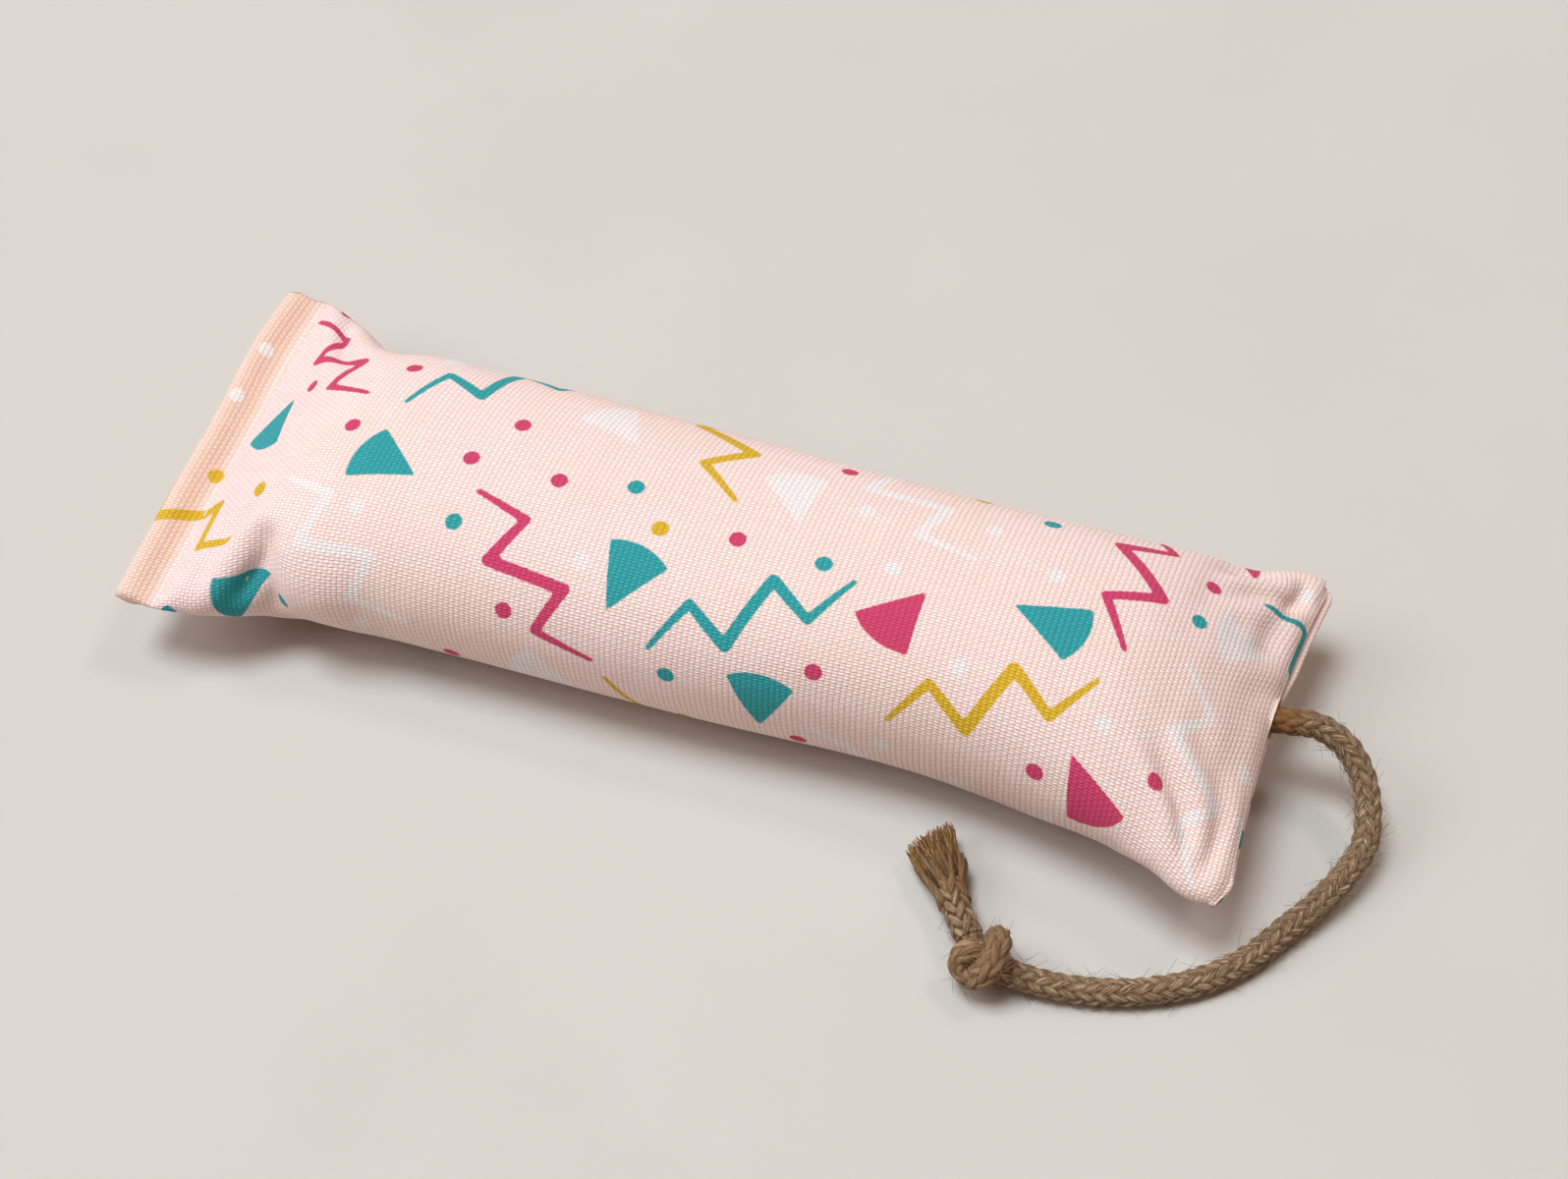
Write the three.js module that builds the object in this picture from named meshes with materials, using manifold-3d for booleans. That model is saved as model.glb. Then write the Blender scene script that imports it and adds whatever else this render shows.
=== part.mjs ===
// A throwable dog-training bumper: a stuffed canvas sleeve with a topstitched hem at one end and
// a jute throwing cord at the other. Millimetres, +Z up, lying on its flat side. The origin is
// under the middle of the canvas body, and +X runs from the hem to the cord.

import * as THREE from "three";
import { mergeVertices } from "three/addons/utils/BufferGeometryUtils.js";
import Module from "manifold-3d";

const wasm = await Module();
wasm.setup();

// ---- Driving dimensions -------------------------------------------------------------------

const BODY_LENGTH = 240; // hem edge to end seam, on the centre line
const BODY_HALF_WIDTH = 31.6; // of the filled body, at its middle
const BODY_HEIGHT = 42;
const SEAM_HEIGHT = 19; // the flat hem and the end seam lie near mid-height
const FLAT_HALF_WIDTH = 45; // of the empty sleeve, which the hem keeps
const EAR_HALF_WIDTH = 39; // corners of the end seam
const CANVAS = 0.9; // cloth thickness
const HEM_DEPTH = 12; // hem edge to its stitch line
const HEM_THICKNESS = 4 * CANVAS; // two folded-in layers on each side
const HEM_SKEW = 0.065; // the hem line leans outwards towards +Y
const BODY_DRIFT = -1.7; // the filled body lies this far off the hem's centre line, along Y
const SEAM_DIP = 1.6; // the end seam is drawn in at the cord
const SEAM_SKEW = 0.04; // the end seam leans the other way
const ALLOWANCE = 9; // seam allowance left inside the sleeve
const FLOOR_SAG = 1.6; // how much of the soft underside is pressed flat
const GAP = 0.3; // clearance between touching pieces
const BORE_CLEARANCE = 0.5; // round the cord where it leaves the seam

const CORD = 5.5; // cord diameter
const STOP_KNOT = 12.8; // diameter of the knot inside the sleeve
const THREAD = 0.5; // sewing thread diameter
const STITCH = 3; // stitch length

const HEM_X = -BODY_LENGTH / 2; // hem edge, on the centre line
const SEAM_X = BODY_LENGTH / 2 + SEAM_DIP; // the end seam's corners, before they lean

const RING_POINTS = 40; // points round one cross-section
const LINING_POINTS = 28; // the same, for the sleeve's inside and its stuffing

// Outline of the filled sleeve as stations along X: half-width, top, bottom and squareness, the
// exponent of the cross-section's superellipse (2 is an ellipse, under 2 a lens, above 4 a slab).
const hemTop = SEAM_HEIGHT + HEM_THICKNESS / 2;
const hemBottom = SEAM_HEIGHT - HEM_THICKNESS / 2;
const STATIONS = [
  { x: HEM_X, half: FLAT_HALF_WIDTH, top: hemTop - 1, bottom: hemBottom + 1, square: 6 },
  { x: HEM_X + 1.2, half: FLAT_HALF_WIDTH, top: hemTop, bottom: hemBottom, square: 8 },
  { x: HEM_X + 10.5, half: FLAT_HALF_WIDTH, top: hemTop, bottom: hemBottom, square: 8 },
  { x: HEM_X + HEM_DEPTH, half: 44.5, top: hemTop - 0.5, bottom: hemBottom + 0.5, square: 7 },
  { x: HEM_X + 18, half: 42.5, top: 26, bottom: 11, square: 3 },
  { x: HEM_X + 26, half: 38, top: 32, bottom: 4, square: 2.2 },
  { x: HEM_X + 36, half: 34.6, top: 37.5, bottom: 0.5, square: 2.2 },
  { x: HEM_X + 50, half: 33, top: 40.8, bottom: -FLOOR_SAG, square: 2.3 },
  { x: HEM_X + 68, half: 32.4, top: 41.6, bottom: -FLOOR_SAG, square: 2.35 },
  { x: 10, half: BODY_HALF_WIDTH, top: BODY_HEIGHT, bottom: -FLOOR_SAG, square: 2.35 },
  { x: SEAM_X - 66, half: 32.4, top: BODY_HEIGHT, bottom: -FLOOR_SAG, square: 2.35 },
  { x: SEAM_X - 44, half: 34, top: 41, bottom: -FLOOR_SAG, square: 2.3 },
  { x: SEAM_X - 28, half: 36, top: 38.4, bottom: 1.2, square: 2.1 },
  { x: SEAM_X - 16, half: 37.6, top: 33.5, bottom: 5.5, square: 1.9 },
  { x: SEAM_X - 7, half: 38.6, top: 28, bottom: 11, square: 1.8 },
  { x: SEAM_X - 2, half: EAR_HALF_WIDTH, top: 23, bottom: 15.5, square: 1.9 },
  { x: SEAM_X, half: EAR_HALF_WIDTH - 1.5, top: SEAM_HEIGHT + 1, bottom: SEAM_HEIGHT - 1, square: 3 },
];

// The cord's route from behind the end seam, out, down to the ground and round to its knot.
const CORD_ROUTE = [
  [105, 0.5, 19],
  [112, 0.5, 19],
  [120, 0.5, 19],
  [128, 2, 18],
  [134, 0.5, 15.5],
  [138, -3, 12.5],
  [140.5, -8, 9.5],
  [141.5, -14, 7],
  [139.5, -21, 5.5],
  [136, -28, 4],
  [131.5, -35, 3.2],
  [126, -43.5, 2.8],
  [119, -50.5, 2.8],
  [110, -56, 2.8],
  [100, -59.5, 2.8],
  [91, -61, 3],
  [84.5, -61.5, 4],
];
const KNOT_CENTRE = [79, -62.5, 6];
const KNOT_SIZE = [12.5, 14.5, 12]; // across the cord it is longer than along it
const KNOT_TURN = 0.5; // radians about Z
const TAIL_ROUTE = [
  [75.5, -58, 6],
  [71.5, -53, 5.5],
  [68, -48, 5],
];
const FRAY_TIP = [61.5, -39, 4.5];
const FRAY_ROOT_RADIUS = 2.6;
const FRAY_TIP_RADIUS = 4.4;
const FRAY_FLATNESS = 0.8; // height over width
const STOP_KNOT_CENTRE = [99, 0.5, 19];

// ---- Materials ----------------------------------------------------------------------------

const fabric = (color) => new THREE.MeshStandardMaterial({ color, roughness: 0.9, metalness: 0 });
const canvasCloth = fabric(0xefc9bc);
const stuffing = fabric(0xf4f3ee);
const cottonThread = fabric(0xf0d8cc);
const jute = fabric(0xa98a66);

// ---- Rod detail ---------------------------------------------------------------------------

const CORD_SIDES = 10;
const BORE_SIDES = 14;
const THREAD_SIDES = 5;
const THREAD_TENSION = 0.1; // low, so that a thread doesn't swing past its stitch points
const CREST = 0.8; // share of its own thickness that a thread rises between stitches

// ---- Helpers ------------------------------------------------------------------------------

const group = new THREE.Group();

function add(name, geometry, material) {
  const mesh = new THREE.Mesh(geometry, material);
  mesh.name = name;
  group.add(mesh);
  return mesh;
}

// A closed geometry as a solid that can be cut and joined.
function toSolid(geometry) {
  const bare = geometry.clone();
  bare.deleteAttribute("normal");
  bare.deleteAttribute("uv");
  const merged = mergeVertices(bare, 1e-4);
  return new wasm.Manifold(
    new wasm.Mesh({
      numProp: 3,
      vertProperties: new Float32Array(merged.attributes.position.array),
      triVerts: new Uint32Array(merged.index.array),
    }),
  );
}

function toGeometry(solid) {
  const mesh = solid.getMesh();
  const geometry = new THREE.BufferGeometry();
  geometry.setAttribute("position", new THREE.BufferAttribute(mesh.vertProperties, 3));
  geometry.setIndex(new THREE.BufferAttribute(mesh.triVerts, 1));
  geometry.computeVertexNormals();
  return geometry;
}

// A skin over closed rings of equal point counts, with a fan over each end ring.
function loft(rings) {
  const count = rings[0].length;
  const centres = [rings[0], rings.at(-1)].map((ring) =>
    ring.reduce((sum, p) => sum.add(p), new THREE.Vector3()).divideScalar(count),
  );
  const points = [...rings.flat(), ...centres];
  const last = (rings.length - 1) * count;
  const startCentre = points.length - 2;
  const endCentre = points.length - 1;
  const faces = [];
  for (let i = 0; i < count; i++) {
    const j = (i + 1) % count;
    for (let r = 0; r < last; r += count) {
      faces.push(r + i, r + j, r + count + i, r + j, r + count + j, r + count + i);
    }
    faces.push(startCentre, j, i, endCentre, last + i, last + j);
  }
  const geometry = new THREE.BufferGeometry().setFromPoints(points);
  geometry.setIndex(faces);
  geometry.computeVertexNormals();
  return geometry;
}

const smooth = (edge0, edge1, value) => THREE.MathUtils.smoothstep(value, edge0, edge1);

// The outline's values run smoothly from station to station.
const outline = new THREE.CubicInterpolant(
  STATIONS.map((s) => s.x),
  STATIONS.flatMap((s) => [s.half, s.top, s.bottom, s.square]),
  4,
);

// Every layer of the sleeve has its cross-sections at the same places: the stations, and midway.
const SECTIONS = STATIONS.flatMap((s, i) => (i ? [(STATIONS[i - 1].x + s.x) / 2, s.x] : [s.x]));

// A point of the straight sleeve as it lies: the hem and the end seam lean with the sleeve's skewed
// cut, the body lies a little to one side of the hem, and the end seam is drawn in at the cord.
function settled(x, y, z) {
  const hem = 1 - smooth(HEM_X + 10, HEM_X + 55, x);
  const drift = smooth(HEM_X + 6, HEM_X + 34, x);
  const end = smooth(SEAM_X - 20, SEAM_X, x);
  const dip = SEAM_DIP * (1 - Math.min(1, (y / EAR_HALF_WIDTH) ** 2));
  const lean = end * (SEAM_SKEW * y - dip) - hem * HEM_SKEW * y;
  return new THREE.Vector3(x + lean, y + drift * BODY_DRIFT, z);
}

// One cross-section of the sleeve, inset from its outside. The underside is cut off flat.
function sectionRing(x, inset = 0, points = RING_POINTS) {
  const [outerHalf, outerTop, outerBottom, square] = outline.evaluate(x);
  const half = outerHalf - inset;
  const top = outerTop - inset;
  const bottom = outerBottom + inset;
  const power = 2 / square;
  return Array.from({ length: points }, (_, i) => {
    const angle = (i / points) * 2 * Math.PI;
    const c = Math.cos(angle);
    const d = Math.sin(angle);
    const y = half * Math.sign(c) * Math.abs(c) ** power;
    const z = (top + bottom) / 2 + ((top - bottom) / 2) * Math.sign(d) * Math.abs(d) ** power;
    return settled(x, y, Math.max(z, inset));
  });
}

function sleeve(from, to, inset, points) {
  const xs = SECTIONS.filter((x) => x > from && x < to);
  return loft([from, ...xs, to].map((x) => sectionRing(x, inset, points)));
}

const vectors = (route) => route.map((p) => new THREE.Vector3(...p));

// A round rod along a smooth route, with flat ends.
function rod(route, diameter, steps, sides, tension = 0.5) {
  const path = new THREE.CatmullRomCurve3(vectors(route), false, "catmullrom", tension);
  const section = new THREE.Shape();
  for (let i = 0; i < sides; i++) {
    const angle = (i / sides) * 2 * Math.PI;
    const [x, y] = [(Math.cos(angle) * diameter) / 2, (Math.sin(angle) * diameter) / 2];
    if (i === 0) section.moveTo(x, y);
    else section.lineTo(x, y);
  }
  section.closePath();
  return new THREE.ExtrudeGeometry(section, { steps, extrudePath: path });
}

function block(from, to) {
  const [a, b] = vectors([from, to]);
  const size = b.clone().sub(a);
  const middle = a.add(b).divideScalar(2);
  return new THREE.BoxGeometry(size.x, size.y, size.z).translate(middle.x, middle.y, middle.z);
}

function ball(centre, size) {
  return new THREE.SphereGeometry(0.5, 18, 12).scale(...size).translate(...centre);
}

// The room that a cord's end takes in a knot, with clearance: end is where the cord stops, and
// before is a point back along it.
function cordSocket(end, before) {
  const [tip, back] = vectors([end, before]);
  const along = tip.clone().sub(back).normalize();
  const mouth = tip.clone().addScaledVector(along, -CORD);
  const floor = tip.clone().addScaledVector(along, 2 * GAP);
  return toSolid(rod([mouth.toArray(), floor.toArray()], CORD + 4 * GAP, 1, 14));
}

// One thread of a lockstitch: it lies on the cloth and dips between stitches towards its partner.
// place(t, lift) gives the point a share t along the seam, lift above the seam's outer face.
function stitchThread(length, place) {
  const halfStitches = 2 * Math.round(length / STITCH);
  const route = Array.from({ length: halfStitches + 1 }, (_, i) => {
    const rise = THREAD * (i % 2 ? CREST : 1 - CREST);
    return place(i / halfStitches, GAP + THREAD / 2 + rise).toArray();
  });
  return rod(route, THREAD, halfStitches, THREAD_SIDES, THREAD_TENSION);
}

// ---- Canvas sleeve ------------------------------------------------------------------------

const CAVITY_START = HEM_X + HEM_DEPTH + 3;
const CAVITY_END = SEAM_X - 3;
const FIN_THICKNESS = 2 * CANVAS;
const SIDE_FIN_FROM = HEM_X + 60;
const SIDE_FIN_TO = SEAM_X - 34;
const SIDE_WALL_Y = BODY_HALF_WIDTH + BODY_DRIFT;
const END_FIN_HALF_WIDTH = 24;
const END_FIN_FROM = CAVITY_END + 1 - ALLOWANCE;

// The seam allowances stand inside the sleeve as fins: one along the far side, one at the end.
const sideFin = block(
  [SIDE_FIN_FROM, SIDE_WALL_Y - ALLOWANCE, SEAM_HEIGHT - FIN_THICKNESS / 2],
  [SIDE_FIN_TO, SIDE_WALL_Y - CANVAS / 2, SEAM_HEIGHT + FIN_THICKNESS / 2],
);
const endFin = block(
  [END_FIN_FROM, BODY_DRIFT - END_FIN_HALF_WIDTH, SEAM_HEIGHT - FIN_THICKNESS / 2],
  [CAVITY_END, BODY_DRIFT + END_FIN_HALF_WIDTH, SEAM_HEIGHT + FIN_THICKNESS / 2],
);
const cordBore = rod(CORD_ROUTE.slice(0, 4), CORD + 2 * BORE_CLEARANCE, 8, BORE_SIDES);

const outside = toSolid(sleeve(HEM_X, SEAM_X, 0, RING_POINTS));
const cavity = toSolid(sleeve(CAVITY_START, CAVITY_END, CANVAS, LINING_POINTS));
const fins = toSolid(sideFin).add(toSolid(endFin));
const cover = outside.subtract(cavity).add(fins).subtract(toSolid(cordBore));
add("canvas_cover", toGeometry(cover), canvasCloth);

// ---- Stuffing -----------------------------------------------------------------------------

const FILL_INSET = CANVAS + 0.5;
const FILL_START = CAVITY_START + 2;
const FILL_END = END_FIN_FROM - 2; // stops short of the end allowance
const FIN_SLOT = FIN_THICKNESS + 2 * (2 * THREAD + 2 * GAP); // room for the threads as well
const POCKET_CLEARANCE = 1; // round the stop knot and the cord behind it

const pocketSize = Array(3).fill(STOP_KNOT + 2 * POCKET_CLEARANCE);
const cordWay = [STOP_KNOT_CENTRE, ...CORD_ROUTE.slice(0, 3)];
const pocket = toSolid(ball(STOP_KNOT_CENTRE, pocketSize)).add(
  toSolid(rod(cordWay, CORD + 2 * POCKET_CLEARANCE, 4, BORE_SIDES)),
);
const finSlot = toSolid(
  block(
    [SIDE_FIN_FROM - 2, SIDE_WALL_Y - ALLOWANCE - 2, SEAM_HEIGHT - FIN_SLOT / 2],
    [SIDE_FIN_TO + 2, SIDE_WALL_Y + ALLOWANCE, SEAM_HEIGHT + FIN_SLOT / 2],
  ),
);
const fill = toSolid(sleeve(FILL_START, FILL_END, FILL_INSET, LINING_POINTS))
  .subtract(pocket)
  .subtract(finSlot);
add("fibre_fill", toGeometry(fill), stuffing);

// ---- Sewing threads: a needle thread and a bobbin thread in each seam ----------------------

const HEM_STITCH_HALF = FLAT_HALF_WIDTH - 3;
const HEM_STITCH_X = HEM_X + HEM_DEPTH - 2.2;
const SIDE_STITCH_Y = SIDE_WALL_Y - ALLOWANCE + 2.5;
const END_STITCH_X = END_FIN_FROM + 2.4;
const END_STITCH_HALF = END_FIN_HALF_WIDTH - 1;
const [, CORD_IN_SEAM_Y, CORD_IN_SEAM_Z] = CORD_ROUTE[1];

function hemPoint(t, side, lift) {
  const y = THREE.MathUtils.lerp(-HEM_STITCH_HALF, HEM_STITCH_HALF, t);
  return settled(HEM_STITCH_X, y, SEAM_HEIGHT + side * (HEM_THICKNESS / 2 + lift));
}

function sidePoint(t, side, lift) {
  const x = THREE.MathUtils.lerp(SIDE_FIN_FROM + 1, SIDE_FIN_TO - 1, t);
  return new THREE.Vector3(x, SIDE_STITCH_Y, SEAM_HEIGHT + side * (FIN_THICKNESS / 2 + lift));
}

// The end seam's threads run over and under the cord, which they hold in the seam.
function endPoint(t, side, lift) {
  const y = BODY_DRIFT + THREE.MathUtils.lerp(-END_STITCH_HALF, END_STITCH_HALF, t);
  const overCord = 1 - smooth(CORD / 2 + 0.5, CORD + 0.5, Math.abs(y - CORD_IN_SEAM_Y));
  const cordReach = CORD / 2 + side * (CORD_IN_SEAM_Z - SEAM_HEIGHT);
  const reach = THREE.MathUtils.lerp(FIN_THICKNESS / 2, cordReach, overCord);
  return new THREE.Vector3(END_STITCH_X, y, SEAM_HEIGHT + side * (reach + lift));
}

const SEAMS = [
  { name: "hem", length: 2 * HEM_STITCH_HALF, point: hemPoint },
  { name: "side_seam", length: SIDE_FIN_TO - SIDE_FIN_FROM - 2, point: sidePoint },
  { name: "end_seam", length: 2 * END_STITCH_HALF, point: endPoint },
];
for (const { name, length, point } of SEAMS) {
  for (const [thread, side] of [["needle", 1], ["bobbin", -1]]) {
    const place = (t, lift) => point(t, side, lift);
    add(`${name}_${thread}_thread`, stitchThread(length, place), cottonThread);
  }
}

// ---- Throwing cord ------------------------------------------------------------------------

const CORD_STEPS = 20;
const knotLump = new THREE.SphereGeometry(0.5, 20, 14)
  .scale(...KNOT_SIZE)
  .rotateZ(KNOT_TURN)
  .translate(...KNOT_CENTRE);

// Each knot is a rounded lump with a socket where a strand of the cord enters it.
const knot = toSolid(knotLump)
  .subtract(cordSocket(CORD_ROUTE.at(-1), CORD_ROUTE.at(-2)))
  .subtract(cordSocket(TAIL_ROUTE[0], TAIL_ROUTE[1]));
const stopKnot = toSolid(ball(STOP_KNOT_CENTRE, Array(3).fill(STOP_KNOT))).subtract(
  cordSocket(CORD_ROUTE[0], CORD_ROUTE[1]),
);
add("throw_cord", rod(CORD_ROUTE, CORD, CORD_STEPS, CORD_SIDES), jute);
add("cord_knot", toGeometry(knot), jute);
add("cord_tail", rod(TAIL_ROUTE, CORD, 3, CORD_SIDES), jute);
add("cord_stop_knot", toGeometry(stopKnot), jute);

// The frayed end spreads like a brush, a little flattened where it lies on the ground.
const [frayTip, tailEnd] = vectors([FRAY_TIP, TAIL_ROUTE.at(-1)]);
const spread = frayTip.clone().sub(tailEnd);
const frayRoot = tailEnd.clone().add(spread.clone().setLength(2 * GAP));
const alongSpread = new THREE.Quaternion().setFromUnitVectors(
  new THREE.Vector3(0, 1, 0),
  spread.clone().normalize(),
);
const brushLength = frayTip.distanceTo(frayRoot);
const brush = new THREE.CylinderGeometry(FRAY_TIP_RADIUS, FRAY_ROOT_RADIUS, brushLength, 14, 3)
  .scale(1, 1, FRAY_FLATNESS)
  .applyQuaternion(alongSpread)
  .translate(...frayRoot.add(frayTip).divideScalar(2));
add("frayed_end", brush, jute);

export default group;
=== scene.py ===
from math import cos, pi, radians, sin, sqrt, tau

import bpy
import numpy as np
from mathutils import Matrix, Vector
from numpy.linalg import norm


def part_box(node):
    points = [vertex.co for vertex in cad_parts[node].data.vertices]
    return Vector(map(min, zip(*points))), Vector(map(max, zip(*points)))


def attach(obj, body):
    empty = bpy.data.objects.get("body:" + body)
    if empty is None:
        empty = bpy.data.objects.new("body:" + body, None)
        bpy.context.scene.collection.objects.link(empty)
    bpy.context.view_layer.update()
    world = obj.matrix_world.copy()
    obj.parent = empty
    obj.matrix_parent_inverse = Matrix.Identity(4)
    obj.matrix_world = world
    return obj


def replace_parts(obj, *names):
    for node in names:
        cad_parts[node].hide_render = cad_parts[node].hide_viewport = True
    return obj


# A dog-training bumper: a stuffed, printed canvas sleeve with a jute throwing cord.
# Lengths are in millimetres, in the CAD frame, and meshes are scaled to metres when made. Only the
# floor and the lights are in metres.

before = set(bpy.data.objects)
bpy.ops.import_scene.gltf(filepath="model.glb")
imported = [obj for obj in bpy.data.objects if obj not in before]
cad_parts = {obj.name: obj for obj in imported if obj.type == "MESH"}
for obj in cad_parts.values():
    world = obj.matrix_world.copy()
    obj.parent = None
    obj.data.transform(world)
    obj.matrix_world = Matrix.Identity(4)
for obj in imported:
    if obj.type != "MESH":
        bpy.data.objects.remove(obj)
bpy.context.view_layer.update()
MM = 0.001


def linked(name, data):
    """A new object, in the scene."""
    made = bpy.data.objects.new(name, data)
    bpy.context.scene.collection.objects.link(made)
    return made


# ---- Camera ----

CAMERA_AT = (126.4, -248.4, 374.0)
CAMERA_AZIMUTH, CAMERA_ELEVATION, CAMERA_ROLL = -66.2, 52.6, 4.3


def facing(azimuth, elevation, roll=0.0):
    """Right, up and back, as rows, for something that looks down from an azimuth and elevation."""
    turn, rise, lean = (radians(a) for a in (azimuth, elevation, roll))
    back = np.array([cos(turn) * cos(rise), sin(turn) * cos(rise), sin(rise)])
    level = np.array([-sin(turn), cos(turn), 0])
    right = level * cos(lean) - np.cross(back, level) * sin(lean)
    return np.array([right, np.cross(back, right), back])


def aim(thing, place, axes):
    """Puts an object at a place in metres, turned to its axes."""
    turn = Matrix(axes.tolist()).transposed().to_quaternion()
    thing.matrix_world = Matrix.LocRotScale(np.asarray(place).tolist(), turn, None)


CAMERA_AXES = facing(CAMERA_AZIMUTH, CAMERA_ELEVATION, CAMERA_ROLL)
camera = linked("camera", bpy.data.cameras.new("camera"))
camera.data.sensor_fit = "HORIZONTAL"
camera.data.sensor_width = 36
camera.data.lens = 49.6
camera.data.clip_start = 0.01
aim(camera, [c * MM for c in CAMERA_AT], CAMERA_AXES)
bpy.context.scene.camera = camera

# ---- Helpers ----


def smoothstep(low, high, x):
    t = np.clip((np.asarray(x, float) - low) / (high - low), 0, 1)
    return t * t * (3 - 2 * t)


def hill(x, centre, width):
    """A bell: 1 at the centre, 0.14 at one width from it, and soon nothing."""
    return np.exp(-(((np.asarray(x, float) - centre) / width) ** 2) * 2)


def unit(v):
    return v / np.maximum(norm(v, axis=-1, keepdims=True), 1e-12)


def spline(knots, values, at):
    """A smooth curve through the values at the knots, which needn't be evenly spaced."""
    knots, values, at = (np.asarray(a, float) for a in (knots, values, at))
    one = (1,) * (values.ndim - 1)
    steps = np.diff(knots)
    slopes = np.diff(values, axis=0) / steps.reshape(-1, *one)
    before, after = steps[:-1].reshape(-1, *one), steps[1:].reshape(-1, *one)
    inner = (slopes[:-1] * after + slopes[1:] * before) / (before + after)
    tangents = np.concatenate([slopes[:1], inner, slopes[-1:]])
    i = np.clip(np.searchsorted(knots, at, side="right") - 1, 0, len(steps) - 1)
    t = ((at - knots[i]) / steps[i]).reshape(*at.shape, *one)
    h = steps[i].reshape(*at.shape, *one)
    return (
        (1 + 2 * t) * (1 - t) ** 2 * values[i]
        + t * (1 - t) ** 2 * h * tangents[i]
        + t * t * (3 - 2 * t) * values[i + 1]
        + t * t * (t - 1) * h * tangents[i + 1]
    )


def along(points):
    """The distance run at each point of a polyline."""
    return np.concatenate([[0], np.cumsum(norm(np.diff(points, axis=0), axis=1))])


def resample(at, run, points):
    """A polyline's points at some distances along it, given its own distances."""
    return np.stack([np.interp(at, run, points[:, k]) for k in range(points.shape[1])], axis=1)


def route(points, step):
    """Evenly spaced points on a smooth curve through the given ones."""
    points = np.asarray(points, float)
    fine = spline(along(points), points, np.linspace(0, along(points)[-1], 2000))
    run = along(fine)
    at = np.linspace(0, run[-1], max(2, round(run[-1] / step) + 1))
    return resample(at, run, fine)


def grid_faces(rows, columns):
    """Quads between rings of points. They face out if the rings turn right-handed on their way."""
    i, j = np.meshgrid(np.arange(rows - 1), np.arange(columns), indexing="ij")
    here, there = i * columns + j, i * columns + (j + 1) % columns
    return np.stack([here, there, there + columns, here + columns], -1).reshape(-1, 4)


def strand(path, radii, sides):
    """A thin closed tube along a short path: its points and faces."""
    ahead = unit(np.gradient(path, axis=0))
    side = unit(np.cross(ahead, [0.31, 0.17, 0.93]))
    up = np.cross(ahead, side)
    angle = np.arange(sides) / sides * tau
    spokes = side[:, None] * np.cos(angle)[None, :, None] + up[:, None] * np.sin(angle)[None, :, None]
    points = path[:, None] + spokes * np.broadcast_to(radii, len(path))[:, None, None]
    last = (len(path) - 1) * sides
    caps = [list(range(sides))[::-1], list(range(last, last + sides))]
    return points.reshape(-1, 3), grid_faces(len(path), sides).tolist() + caps


def bundle(strands):
    """Many strands as one mesh, with each point's strand number."""
    points, faces, numbers, start = [], [], [], 0
    for number, (some, quads) in enumerate(strands):
        points.append(some)
        faces += [[start + v for v in face] for face in quads]
        numbers.append(np.full(len(some), number))
        start += len(some)
    return np.concatenate(points), faces, np.concatenate(numbers)


def make_piece(name, points, faces, material):
    mesh = bpy.data.meshes.new(name)
    mesh.from_pydata((np.asarray(points) * MM).tolist(), [], [list(map(int, f)) for f in faces])
    mesh.validate()
    mesh.polygons.foreach_set("use_smooth", np.full(len(mesh.polygons), True))
    mesh.materials.append(material)
    piece = linked(name, mesh)
    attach(piece, "root")
    return piece


def store(piece, name, values):
    """A number or a vector for each vertex, for the materials to read."""
    values = np.asarray(values, np.float32)
    kind, field = ("FLOAT", "value") if values.ndim == 1 else ("FLOAT_VECTOR", "vector")
    layer = piece.data.attributes.new(name, kind, "POINT")
    layer.data.foreach_set(field, values.ravel())


# ---- Materials ----


def srgb(code):
    parts = [int(code[i : i + 2], 16) / 255 for i in (1, 3, 5)]
    return [p / 12.92 if p <= 0.04045 else ((p + 0.055) / 1.055) ** 2.4 for p in parts] + [1]


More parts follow.
